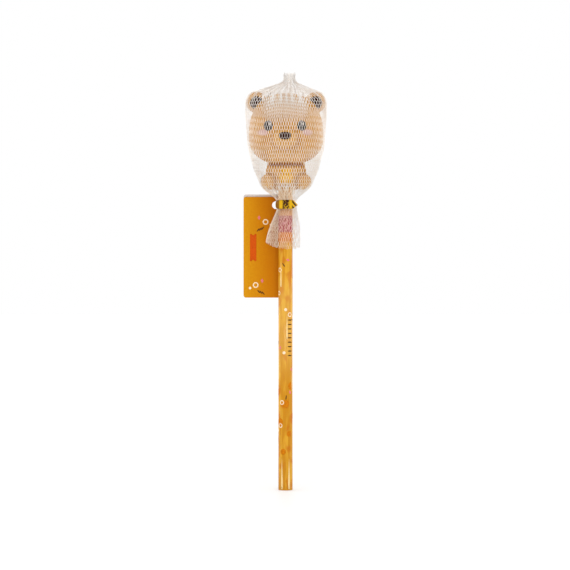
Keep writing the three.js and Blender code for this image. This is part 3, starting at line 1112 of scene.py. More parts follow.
@dataclass
class FoamBear:
    """The foam topper: one soft moulding with painted details and a small pot on its belly.

    Its heights are above its base and its zones are seen from its own middle.
    """

    base: float = 156.0
    middle: float = 0.3
    squeezed: Spot = (1.0, 14.0)
    socket_radius: float = 3.9
    socket_tall: float = 27.5
    socket_below: float = 5.0
    voxel: float = 0.36
    smoothing: int = 6
    ear_radius: float = 5.5
    inner_ear_radius: float = 3.4
    inner_ear_drop: float = 0.4
    inner_ear_shift: Spot = (0.9, 1.0)
    inner_ear_room: float = 0.25
    eye_half: Spot = (2.35, 2.7)
    eye_place: Spot = (8.6, 32.4)
    glint: Oval = Oval((0.7, 0.9), (0.6, 0.65))
    nose_half: Spot = (3.2, 2.0)
    nose_height: float = 27.1
    face_shift: float = -0.55
    paint_depth: float = 0.25
    blush: Oval = Oval((11.4, 29.1), (2.9, 1.7), (0.55, 1.25))
    # A paler muzzle, partly painted light on the lit snout; snout_rim sets a ring of painted shade
    # round it.
    snout_light: Oval = Oval((0.0, 25.6), (6.4, 5.0), (0.8, 1.05), most=0.55)
    snout_rim: Spot = (1.14, 0.13)
    snout_rim_shade: float = 0.2
    # Painted light: the jaw under the chin, the brow and the low belly are lighter at the front,
    # and the ear tops below.
    front_lights: tuple[Zone, ...] = (
        Zone(level=(16.8, 2.2), within=(7.0, 11.0), most=0.6),
        Zone(above=(35.0, 41.0), within=(8.0, 13.0), most=0.6),
        Zone(below=(10.0, 12.0), most=0.35),
    )
    ear_light: Zone = Zone(above=(42.0, 45.0), beyond=(9.5, 11.5), most=0.25)
    # Painted shade in the crease under the chin and, with seam_shade, where the feet meet the
    # torso.
    chin_fold_shade: Zone = Zone(level=(12.9, 0.95), within=(8.5, 10.5))
    seam_half: float = 0.9
    seam_shade: float = 0.4
    pot_radius: float = 3.7
    pot_foot: float = 0.9
    pot_waist: float = 1.6
    pot_rim: float = 3.3
    pot_tall: float = 8.3
    pot_widest_height: float = 4.2
    pot_waist_height: float = 5.5
    pot_rim_tall: float = 1.7
    pot_height: float = 2.5
    pot_proud: float = 2.0
    pot_depth_share: float = 0.7
    pot_steps: int = 48

    def __post_init__(self) -> None:
        """Places the lobes."""
        x, z, ear = self.middle, self.base, self.ear_radius
        snout_height = z + self.snout_light.middle[1]
        self.head = Lobe(x, 0, z + 28, 19.5, 16.8, 22.4, 14.7, 2.35)
        self.torso = Lobe(x, 0, z + 6.3, 10.5, 8.6, 12.0, 6.3, 3.0)
        self.chin = Lobe(x, -5.0, z + 17.8, 10.0, 5.5, 4.0, 5.2, 3.0)
        self.snout = Lobe(x + self.face_shift, -15.4, snout_height, 6.4, 2.8, 4.8, 4.8)
        self.ears = {
            side: Lobe(x + sign * 15.3, 0, z + 45.7, ear, 3.6, ear, ear) for side, sign in SIDES
        }
        self.feet = {
            side: Lobe(x + sign * 8.9, -4.6, z + 3.8, 4.2, 4.7, 4.4, 3.8, 2.4)
            for side, sign in SIDES
        }

    def build(self) -> None:
        """Builds the moulding, its paint and its pot."""
        limbs = ("left_ear", "right_ear", "left_foot", "right_foot")
        self.stuffed(self.skin(), "foam_skin", "head", "torso", "snout", *limbs)
        dark = SprayedPaint("sprayed_dark_paint")
        charcoal = SprayedPaint("sprayed_charcoal_paint", "#2C211C", "#3B2F28")
        white = SprayedPaint("sprayed_white_paint", "#D5CEC6", "#C8C0B6", 0.3)
        for side, sign in SIDES:
            self.eye(side, sign, charcoal, white)
            self.inner_ear(side, sign, dark)
        self.nose(dark)
        self.stuffed(self.pot(), "foam_pot", "belly_pot")

    def stuffed(self, piece: bpy.types.Object, slot: str, *nodes: str) -> None:
        """Bakes a foam piece's placing into its mesh and seats it in place of its CAD nodes.

        Args:
            piece: The piece.
            slot: Its material slot; not used.
            nodes: The CAD nodes that it stands for.
        """
        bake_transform(piece)
        seat(piece, nodes)

    def skin(self) -> bpy.types.Object:
        """Returns the moulding as one skin, with its socket and its tints."""
        foam = MouldedFoam("moulded_foam")
        data = MeshData()
        ears, feet = self.ears.values(), self.feet.values()
        for lobe in (self.head, self.chin, self.torso, self.snout, *ears, *feet):
            lobe.into(data, 72)
        skin = data.object("foam_bear", foam)
        remesh = skin.modifiers.new("fuse", "REMESH")
        remesh.mode = "VOXEL"
        remesh.voxel_size = self.voxel * MM
        smooth = skin.modifiers.new("ease", "SMOOTH")
        smooth.factor = 0.5
        smooth.iterations = self.smoothing
        settle(skin)
        plug, rim = MeshData(), circle(64)
        ends = (self.base - self.socket_below, self.base + self.socket_tall)
        points = [(self.socket_radius * x, self.socket_radius * y, z) for z in ends for x, y in rim]
        plug.add(points, tube_faces(len(ends), len(rim)))
        tool = plug.object("socket_tool", foam)
        bore = skin.modifiers.new("socket", "BOOLEAN")
        bore.operation = "DIFFERENCE"
        bore.solver = "EXACT"
        bore.object = tool
        settle(skin)
        bpy.data.objects.remove(tool)
        skin.data.polygons.foreach_set("use_smooth", [True] * len(skin.data.polygons))
        self.tint(skin.data)
        return skin

    def tint(self, mesh: bpy.types.Mesh) -> None:
        """Sprays the blush on the skin's points, and paints light on its paler parts and shade in
        its folds, seams and round the muzzle.

        Args:
            mesh: The skin's mesh.
        """
        spots = np.empty(len(mesh.vertices) * 3)
        mesh.vertices.foreach_get("co", spots)
        x, y, z = (spots.reshape(-1, 3) / MM).T
        # Painted shade along the seams where the feet meet the torso.
        seams = np.zeros_like(x)
        for foot in self.feet.values():
            apart = np.hypot(foot.offset(x, y, z), self.torso.offset(x, y, z))
            seams = np.maximum(seams, np.exp(-((apart / self.seam_half) ** 2)))
        x, z = x - self.middle, z - self.base
        face = x - self.face_shift
        front = smoothstep(-y, 2.0, 6.0)
        blush = self.blush.share(face, z) * front
        lights = [self.snout_light, *self.front_lights]
        shares = [zone.share(face if zone is self.snout_light else x, z) * front for zone in lights]
        light = np.max([*shares, self.ear_light.share(x, z)], axis=0)
        # Painted shade: a dark ring round the muzzle.
        rim = (self.snout_light.away(face, z) - self.snout_rim[0]) / self.snout_rim[1]
        rim = self.snout_rim_shade * np.exp(-(rim**2)) * front
        fold = self.chin_fold_shade.share(x, z)
        fold = fold * smoothstep(-y, 2.0, 5.0) * (1 - smoothstep(-y, 10.5, 12.5))
        fold = np.max([fold, self.seam_shade * seams, rim], axis=0)
        colours = np.stack([blush, light, fold, np.ones_like(x)], axis=1)
        layer = mesh.color_attributes.new("tint", "FLOAT_COLOR", "POINT")
        layer.data.foreach_set("color", colours.astype(np.float32).ravel())

    def painted(
        self,
        node: str,
        patch: Patch,
        place: Placing,
        *finishes: Finish,
        slot_of: Callable[[float, float], int] | None = None,
    ) -> None:
        """Lays a painted patch on the head in place of a CAD node.

        Args:
            node: The CAD node.
            patch: The patch.
            place: Gives its upper and lower points.
            finishes: Its paints.
            slot_of: Gives the number of a face's paint, where there are several.
        """
        data = MeshData()
        patch.into(data, place, slot_of)
        seat(data.object(f"{node}_paint", *finishes), (node,), "head")

    def eye(self, side: str, sign: int, dark: Finish, white: Finish) -> None:
        """Builds an eye: a low dark dome with a white glint.

        Args:
            side: The eye's side.
            sign: -1 on the left, 1 on the right.
            dark: The eye's paint.
            white: The glint's paint.
        """
        x = self.middle + self.face_shift + sign * self.eye_place[0]
        z = self.base + self.eye_place[1]
        wide, tall = self.eye_half

        def glint(u: float, v: float) -> int:
            """Returns 1 for a face in the glint."""
            return int(u > 0 and self.glint.away(u, v) < 1)

        patch = Patch(lambda a: (wide * math.cos(a), tall * math.sin(a)), 14, 56)
        place = self.dome(self.head, x, z, 0.3, 0.25)
        self.painted(f"{side}_eye", patch, place, dark, white, slot_of=glint)

    def nose(self, dark: Finish) -> None:
        """Builds the nose: a rounded dark oval on the snout.

        Args:
            dark: The nose's paint.
        """
        wide, tall = self.nose_half

        def outline(angle: float) -> Spot:
            """Draws the rim of a soft oval that is fuller at its top.

            Args:
                angle: The direction from the nose's middle, in radians.

            Returns:
                The rim's place across and along, in mm.
            """
            u, v = (
                math.copysign(abs(way) ** 0.85, way) for way in (math.cos(angle), math.sin(angle))
            )
            return wide * u * (1 + 0.06 * v), tall * v

        place = self.dome(self.snout, self.snout.x, self.base + self.nose_height, 0.3, 0.3)
        self.painted("nose", Patch(outline, 10, 48), place, dark)

    def inner_ear(self, side: str, sign: int, dark: Finish) -> None:
        """Builds the dark inside of an ear: a disc that the head's outline cuts off.

        Args:
            side: The ear's side.
            sign: -1 on the left, 1 on the right.
            dark: The ear's paint.
        """
        ear, head = self.ears[side], self.head.grown(self.inner_ear_room)
        drop = self.inner_ear_drop
        middle_x = ear.x + sign * self.inner_ear_shift[0]
        middle_z = ear.z + self.inner_ear_shift[1] - drop

        def outline(angle: float) -> Spot:
            """Draws the rim, as far out as the disc and the head allow.

            Args:
                angle: The direction from the inner ear's middle, in radians.

            Returns:
                The rim's place across and along, in mm.
            """
            u, v = math.cos(angle), math.sin(angle)
            reach = 0.3
            while reach < 2 * self.inner_ear_radius:
                x, z = middle_x + u * reach, middle_z + v * reach
                outside = math.hypot(x - ear.x, z - ear.z + drop) > self.inner_ear_radius
                if outside or head.holds(x, ear.front(x, z), z):
                    break
                reach += 0.03
            return u * reach, v * reach

        place = self.dome(ear, middle_x, middle_z, 0.22, 0.16)
        self.painted(f"{side}_inner_ear", Patch(outline, 8, 56), place, dark)

    def dome(self, lobe: Lobe, x: float, z: float, rise: float, rim: float) -> Placing:
        """Lays a patch on a lobe's front as a low dome.

        Args:
            lobe: The lobe under the patch.
            x: The patch's middle.
            z: The patch's middle height.
            rise: How far its middle stands above its rim.
            rim: How far its rim stands off the lobe.

        Returns:
            A function that places the patch's points.
        """

        def place(u: float, v: float, share: float) -> tuple[Point, Point]:
            """Lays a place on the patch on the lobe.

            Args:
                u: How far across it is from the patch's middle, in mm.
                v: How far up it is.
                share: Its share of the way out to the rim.

            Returns:
                The paint's upper and lower point.
            """
            y = lobe.front(x + u, z + v)
            lift = rim * (1 - share**8) + rise * math.sqrt(max(1 - share**2, 0.0))
            return (x + u, y - lift, z + v), (x + u, y + self.paint_depth, z + v)

        return place

    def pot(self) -> bpy.types.Object:
        """Returns the belly pot: a small foot, a swelling flank, a waist and a rolled rim."""
        quarter = np.linspace(0, math.pi / 2, 12)
        swell, shrink = self.pot_radius - self.pot_foot, self.pot_radius - self.pot_waist
        widest, narrowing = self.pot_widest_height, self.pot_waist_height - self.pot_widest_height
        roll = self.pot_rim_tall / 2
        profile = [
            *((self.pot_foot + swell * math.sin(a), widest * (1 - math.cos(a))) for a in quarter),
            *(
                (self.pot_waist + shrink * math.cos(a), widest + narrowing * math.sin(a))
                for a in quarter[1:]
            ),
            *(
                (self.pot_rim + roll * (math.cos(a) - 1), self.pot_tall + roll * (math.sin(a) - 1))
                for a in np.linspace(-1.3, 1.55, 10)
            ),
            (self.pot_rim * 0.4, self.pot_tall - 0.25),
        ]
        slim = self.pot_depth_share
        y0 = self.pot_radius * slim - self.torso.depth - self.pot_proud
        bottom = self.base + self.pot_height
        points = [
            (self.middle + r * u, y0 + r * slim * v, bottom + height)
            for r, height in profile
            for u, v in circle(self.pot_steps)
        ]
        data = MeshData()
        data.add(points, tube_faces(len(profile), self.pot_steps))
        foam = MouldedFoam("moulded_yellow_foam", "#E5B208", "#DAA404", light="#E8BE44")
        return data.object("belly_pot_foam", foam)


@dataclass
class NetBag:
    """The elastic net: zigzag threads that are knitted together into tall diamond cells."""

    hem: float = 124.7
    hem_read: float = 125.45
    hem_rise: float = 0.0275
    hem_middle: float = 1.0
    band: float = 148.4
    hood: float = 157.0
    chin: float = 190.0
    roof: float = 204.0
    tuft: float = 212.6
    top: float = 217.6
    tuft_shift: float = 2.1
    threads: int = 180
    cell_tall: float = 4.2
    thread_depth: float = 0.2
    thread_top: float = 0.55
    thread_sole: float = 0.35
    step: float = 0.6
    sway: float = 0.42
    inset: float = 0.2
    skirt_bulge: float = 1.0
    rays: int = 200
    pleats: int = 23
    streak: float = 0.8
    ripples: float = 0.27
    ripple_tall: float = 1.8
    cheek_ripple_tall: float = 3.1
    fray: float = 0.6
    tuft_fray: float = 0.6
    easing: int = 12
    seed: int = 11
    least_area: float = 0.31
    cheeks: Zone = Zone(above=(171.0, 175.0), below=(192.0, 197.0), beyond=(7.0, 12.0))
    nose: Zone = Zone(level=(183.1, 3.0), column=(0.0, 4.0))
    ears: Oval = Oval((15.3, 201.4), (4.0, 4.0), (0.75, 1.15))
    feet: Oval = Oval((8.9, 160.0), (4.6, 4.6))
    closed_brow: Zone = Zone(above=(187.0, 194.0), most=0.8)
    rippled_brow: Zone = Zone(above=(190.0, 195.0), below=(205.0, 208.0), within=(10.0, 13.0))
    back_slack: Zone = Zone(above=(150.0, 156.0), below=(165.0, 174.0), most=0.3)
    ear_stretch: Zone = Zone(above=(192.0, 198.0), below=(205.0, 209.0), most=0.4)
    loose_waist: Zone = Zone(level=(167.0, 5.0), most=0.9)
    streaked: tuple[Zone, ...] = (
        Zone(above=(199.0, 206.0)),
        Zone(below=(144.0, band), most=0.35),
        Zone(above=(band, band + 2), below=(155.0, 160.0), most=1.1),
    )
    pleated: tuple[Zone, ...] = (
        Zone(above=(tuft - 2.5, tuft), most=0.75),
        Zone(below=(band - 10, band - 4), most=0.16),
    )
    cover: float = 0.34
    left_ear_cover: float = 0.42
    right_ear_cover: float = 0.33
    # The share that thread covers, and where: each row is laid over those before it.
    covers: tuple[tuple[float, tuple[Zone, ...]], ...] = (
        (0.23, (cheeks,)),
        (0.19, (nose,)),
        # The brow and its crest.
        (0.6, (Zone(above=(186.0, 200.0), within=(9.0, 14.0)),)),
        (0.8, (Zone(above=(198.0, 204.0), within=(9.0, 14.0)),)),
        # The crown, and the tuft with the knot of folds under it.
        (0.37, (Zone(above=(205.0, 208.0)),)),
        (
            0.75,
            (
                Zone(above=(tuft - 1.5, tuft)),
                Zone(above=(206.0, 211.0), column=(tuft_shift, 3.0)),
            ),
        ),
        # The belly, the slack beside it and the fold under the chin.
        (0.36, (Zone(below=(171.0, 178.0)),)),
        (0.46, (Zone(below=(171.0, 178.0), beyond=(11.5, 13.5)),)),
        (0.18, (Zone(level=(168.4, 1.6), within=(10.0, 12.0)),)),
        # The neck, its sides and the bunch between the feet.
        (0.74, (Zone(below=(154.0, 158.0)),)),
        (0.3, (Zone(below=(154.0, 158.0), beyond=(2.8, 4.5)),)),
        (1.0, (Zone(level=(157.2, 2.6), column=(0.0, 5.0), most=0.75),)),
        # The skirt and its sides.
        (0.4, (Zone(below=(band - 2, band)),)),
        (0.52, (Zone(below=(band - 2, band), beyond=(2.8, 4.5)),)),
    )

    def build(self, node: bpy.types.Object) -> None:
        """Builds the net on the CAD net's outside.

        Args:
            node: The CAD net.
        """
        grid = self.rings(node, self.levels())
        net = self.knit(grid)
        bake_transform(net)
        seat(net, ("net_bag",))

    def levels(self) -> np.ndarray:
        """Returns the heights at which the net's outside is read, closest where it lies flat."""
        lower = np.arange(self.hem + 0.05, self.roof, 0.5)
        crown = np.arange(self.roof, self.tuft, 0.1)
        return np.concatenate([lower, crown, np.arange(self.tuft, self.top, 0.3)])

    def rings(self, node: bpy.types.Object, levels: np.ndarray) -> np.ndarray:
        """Reads the net's outside, level by level.

        Args:
            node: The CAD net.
            levels: The heights to read, in mm.

        Returns:
            Points in mm by level and thread from the back, crowded behind the torso and spread
            at the ears.
        """
        tree = BVHTree.FromPolygons(
            [v.co / MM for v in node.data.vertices], [tuple(p.vertices) for p in node.data.polygons]
        )
        angles = math.pi / 2 + np.linspace(0, FULL_TURN, self.rays, endpoint=False)
        turn = np.linspace(0, 1, self.threads, endpoint=False)
        far = 60.0
        grid = np.empty((len(levels), self.threads, 3))
        reach = np.full(self.rays, 5.0)
        for row, z in enumerate(levels):
            centre = self.tuft_shift * float(smoothstep(z, self.roof, self.tuft))
            for i, angle in enumerate(angles):
                way = Vector((math.cos(angle), math.sin(angle), 0.0))
                start = Vector((centre, 0.0, max(z, self.hem_read))) + way * far
                hit = tree.ray_cast(start, -way, far)[3]
                if hit is not None:
                    reach[i] = far - hit
            across, along = centre + reach * np.cos(angles), reach * np.sin(angles)
            ring = np.stack([across, along, np.full(self.rays, z)], axis=1)
            closed = np.vstack([ring, ring[:1]])
            run = np.concatenate([[0], np.cumsum(np.linalg.norm(np.diff(closed, axis=0), axis=1))])
            slack, stretch = self.back_slack.share(0, z), self.ear_stretch.share(0, z)
            wanted = turn - slack / FULL_TURN * np.sin(FULL_TURN * turn)
            wanted = wanted - stretch / (4 * FULL_TURN) * np.sin(4 * FULL_TURN * turn)
            for axis in range(3):
                grid[row, :, axis] = np.interp(run[-1] * wanted, run, closed[:, axis])
        return grid

    def knit(self, grid: np.ndarray) -> bpy.types.Object:
        """Lays zigzag threads over the net's outside.

        Args:
            grid: Points by level and thread, in mm.

        Returns:
            The net.
        """
        draw = np.random.default_rng(self.seed)
        climbs = np.linalg.norm(np.diff(grid, axis=0), axis=2).mean(axis=1)
        run = np.concatenate([[0], np.cumsum(climbs)])
        count = int(run[-1] / self.step)
        along = np.linspace(0, run[-1], count)
        number = np.arange(self.threads)
        level = np.interp(along, run, np.arange(len(grid)))
        base = self.eased(self.sample(grid, level, np.tile(number, (count, 1))))
        apart = np.linalg.norm(base - np.roll(base, 1, axis=1), axis=2)
        apart = (apart + np.roll(apart, -1, axis=1)) / 2
        spacing = apart.mean(axis=1)
        height = base[:, :, 2].mean(axis=1)
        gathered = np.clip(spacing.max() / spacing, 1.0, 6.0) - 1

        # Each thread drifts to either side on its own run of 16 to 30 mm.
        drift = np.sin(
            FULL_TURN * along[:, None] / draw.uniform(16, 30, self.threads)
            + draw.uniform(0, FULL_TURN, self.threads)
        )
        wander = np.clip(0.25 * gathered, 0.06, 0.6)
        index = self.bundled(along, gathered, base) + wander[:, None] * drift
        # The whole net sways slightly too, on a run of 19 mm.
        index = index + 0.12 * np.sin(FULL_TURN * along[:, None] / 19 + number / 5)
        # Gathers draw the threads of the crown, the neck and the skirt together into streaks.
        drawn = self.streak * sum(zone.share(0, height) for zone in self.streaked)
        pleat = FULL_TURN * self.pleats * number / self.threads
        index = index + drawn[:, None] * np.sin(pleat)

        rows = np.arange(count, dtype=float)
        points = self.sample(base, rows, index)
        outward = self.sample(self.normals(base), rows, index)
        outward /= np.linalg.norm(outward, axis=2, keepdims=True)
        fold = 0.5 + 0.5 * np.sin(pleat + 0.05 * along[:, None])
        deep = sum(zone.share(0, height) for zone in self.pleated)
        points -= outward * (self.inset + deep[:, None] * fold)[:, :, None]
        points += self.bulge(points, outward)
        width = apart * self.thread_cover(height[:, None], points[:, :, 0])
        return self.tubes(points, outward, width, draw)

    def bundled(self, along: np.ndarray, gathered: np.ndarray, base: np.ndarray) -> np.ndarray:
        """Gives the zigzag threads their places, in twos and threes where the net is gathered.

        Args:
            along: Each row's distance along the threads, in mm.
            gathered: How much the net is drawn together at each row.
            base: The net's outside by row and thread, in mm.

        Returns:
            Thread numbers with fractions, by row and thread.
        """
        number = np.arange(self.threads)
        phase = FULL_TURN * along / self.cell_tall
        threes = smoothstep(gathered, 2.2, 3.0)[:, None]
        twos = smoothstep(gathered, 0.95, 1.3)[:, None] * (1 - threes)
        sway = self.sway * self.openness(base[:, :, 0], base[:, :, 2])
        sway = sway * (1 - 0.75 * smoothstep(gathered, 1.2, 3.0)[:, None])
        index = np.zeros((len(along), self.threads))
        for size, weight in ((1, 1 - twos - threes), (2, twos), (3, threes)):
            middle = size * (number // size) + (size - 1) / 2
            turn = math.pi * (number // size % 2)
            wave = np.clip(1.6 * np.sin(phase[:, None] + turn), -1, 1)
            index += weight * (middle + self.cover * (number - middle) + size * sway * wave)
        return index

    def openness(self, x: np.ndarray, height: np.ndarray) -> np.ndarray:
        """Returns how far the cells are pulled open.

        Args:
            x: How far to the right the points are, in mm.
            height: Their heights in mm.

        Returns:
            Less than 1 on the cheeks and the brow, more on the nose, the ears and the feet.
        """
        places = (self.cheeks, self.closed_brow, self.ears, self.feet, self.nose)
        cheeks, brow, ears, feet, nose = (zone.share(x, height) for zone in places)
        closed = np.maximum(0.4 * cheeks, brow) * (1 - ears)
        return 1 - closed + 0.35 * np.maximum(ears, feet) + 0.3 * nose

    def bulge(self, points: np.ndarray, outward: np.ndarray) -> np.ndarray:
        """Returns how far the slack net stands out below the cheeks and at the skirt's right.

        Args:
            points: The threads' middle lines, by row and thread.
            outward: The outward directions there.

        Returns:
            The moves in mm.
        """
        x, y, z = np.moveaxis(points, 2, 0)
        loose = self.loose_waist.share(x, z)
        skirt = np.sin(math.pi * np.clip((self.band - z) / (self.band - self.hem), 0, 1)) ** 0.6
        skirt = self.skirt_bulge * skirt * smoothstep(x, 2.0, 5.0) * (1 - smoothstep(y, -1.0, 2.0))
        return outward * (loose + skirt)[:, :, None]

    def eased(self, base: np.ndarray) -> np.ndarray:
        """Eases the net's sharp bends, except at its ends and behind, where the tag swings.

        Args:
            base: The net's outside by row and thread, in mm.

        Returns:
            The eased outside.
        """
        soft = base.copy()
        for _ in range(self.easing):
            soft[1:-1] = 0.5 * soft[1:-1] + 0.25 * (soft[:-2] + soft[2:])
        behind = smoothstep(base[:, :, 1], 0.0, 2.0)
        behind = behind * (1 - smoothstep(base[:, :, 2], 158.0, 161.0))
        return soft + (base - soft) * behind[:, :, None]

    def thread_cover(self, height: np.ndarray, x: np.ndarray) -> np.ndarray:
        """Returns the share of the net that thread covers.

        Args:
            height: The rows' heights in mm.
            x: How far to the right the points are, in mm.

        Returns:
            The share, by row and thread.
        """
        share = np.full(np.broadcast(height, x).shape, self.cover)
        ear_cover = np.where(x < 0, self.left_ear_cover, self.right_ear_cover)
        for wanted, zones in ((ear_cover, (self.ears,)), *self.covers):
            where = np.max([zone.share(x, height) for zone in zones], axis=0)
            share = share + (wanted - share) * where
        # The slack rows crowd together into ripples that arch over the brow and cross the cheeks.
        arch = height + 0.012 * x**2 + 0.3 * np.sin(x / 3)
        droop = height - 0.1 * abs(x) + 0.5 * np.sin(x / 2.5)
        brow = self.rippled_brow.share(x, height)
        cheeks = self.cheeks.share(x, height) * (1 - brow)
        wave = brow * np.sin(FULL_TURN * arch / self.ripple_tall)
        wave += cheeks * np.sin(FULL_TURN * droop / self.cheek_ripple_tall)
        return share * (1 + self.ripples * wave)

    def normals(self, grid: np.ndarray) -> np.ndarray:
        """Returns the outward directions at the points of the net's outside.

        Args:
            grid: The outside by row and thread, in mm.

        Returns:
            Directions of length 1.
        """
        up = np.gradient(grid, axis=0)
        round_it = np.roll(grid, -1, axis=1) - np.roll(grid, 1, axis=1)
        found = np.cross(round_it, up)
        return found / np.maximum(np.linalg.norm(found, axis=2, keepdims=True), TINY)

    def sample(self, grid: np.ndarray, level: np.ndarray, index: np.ndarray) -> np.ndarray:
        """Reads a grid between its levels and threads.

        Args:
            grid: Values by level and thread.
            level: The level of each row, with fractions.
            index: The thread number of each point, with fractions.

        Returns:
            The values, by row and thread.
        """
        low = np.clip(level.astype(int), 0, len(grid) - 2)
        rise = (level - low)[:, None, None]
        first = np.floor(index).astype(int)
        part = (index - first)[:, :, None]
        left, right = first % self.threads, (first + 1) % self.threads
        below, above = (
            grid[row[:, None], left] * (1 - part) + grid[row[:, None], right] * part
            for row in (low, low + 1)
        )
        return below * (1 - rise) + above * rise

    def tubes(
        self, points: np.ndarray, outward: np.ndarray, width: np.ndarray, draw: np.random.Generator
    ) -> bpy.types.Object:
        """Gives the threads their thickness and frayed ends.

        Args:
            points: The threads' middle lines, by row and thread.
            outward: The outward directions there.
            width: The threads' width by row and thread.
            draw: The source of chance.

        Returns:
            The net as one mesh.
        """
        side = np.cross(outward, np.gradient(points, axis=0))
        side /= np.maximum(np.linalg.norm(side, axis=2, keepdims=True), TINY)
        half = width[:, :, None] / 2
        deep = outward * np.minimum(self.thread_depth, width)[:, :, None]
        sole = points - deep * self.thread_sole
        corners = [points + deep * self.thread_top, sole - side * half, sole + side * half]
        section = np.stack(corners, axis=2)
        data = MeshData()
        for i in range(points.shape[1]):
            x, z = points[:, i, 0], points[:, i, 2]
            rise = self.hem_rise * (x[0] - self.hem_middle) ** 2
            hem = self.hem + rise + draw.uniform(0, self.fray)
            kept = np.flatnonzero((z > hem) & (z < self.top - draw.uniform(0, self.tuft_fray)))
            thread = section[kept[0] : kept[-1] + 1, i]
            data.add(thread.reshape(-1, 3), tube_faces(len(thread), len(corners)))
        return data.object("net", KnittedNylon("knitted_nylon_net"))


@dataclass
class TieBand:
    """The printed band round the net's neck, which passes through the tag's holes."""

    height: float = 148.4
    left: float = 4.95
    right: float = 6.05
    front: float = 5.75
    back: float = 4.95
    back_start: float = 5.85
    back_bow: float = 2.2
    front_width: float = 4.6
    back_width: float = 2.7
    thickness: float = 0.36
    rounding: float = 0.55
    crown: float = 0.12
    narrowing: float = 0.7
    point: Spot = (3.6, 6.2)
    point_width: float = 0.9
    steps: int = 160
    across: int = 7

    def build(self) -> None:
        """Builds the band."""
        path = [self.path(FULL_TURN * i / self.steps) for i in range(self.steps)]
        section = self.section()
        points: list[Point] = []
        for i, (x, y) in enumerate(path):
            before, after = path[i - 1], path[(i + 1) % self.steps]
            away = Vector((after[1] - before[1], before[0] - after[0])).normalized()
            frontness = float(smoothstep(-y / self.front, 0, self.narrowing))
            half = (self.back_width + (self.front_width - self.back_width) * frontness) / 2
            half += (self.point_width / 2 - half) * float(smoothstep(x, *self.point))
            for v, turned in section:
                lift = turned * self.thickness / 2 + self.crown * (0.5 - v * v)
                points.append((x + away.x * lift, y + away.y * lift, self.height + half * v))
        data = MeshData()
        faces = grid_faces(self.steps, len(section), looped=True)
        data.add(points, [face[::-1] for face in faces])
        band = data.object("tie_band_ribbon", PrintedRibbon("printed_polyester_ribbon"))
        seat(band, ("tie_band",), "topper")

    def section(self) -> list[Spot]:
        """Returns the band's section: places across its width, outside and then inside."""
        spread = [float(v) for v in np.linspace(-1, 1, self.across)]
        outside = [(v, 1.0 if abs(v) < 1 else self.rounding) for v in spread]
        return outside + [(v, -turned) for v, turned in reversed(outside)]

    def path(self, angle: float) -> Spot:
        """Returns where the band's middle runs.

        Args:
            angle: The angle round the neck, in radians.

        Returns:
            The place along X and Y, in mm.
        """
        centre_x, half_x = (self.right - self.left) / 2, (self.right + self.left) / 2
        centre_y = (self.back - self.front) / 2
        rise = math.sin(angle)
        x = centre_x + half_x * math.cos(angle)
        if rise < 0:
            return x, centre_y + (self.front + centre_y) * rise
        return x, self.back_start + self.back_bow * rise


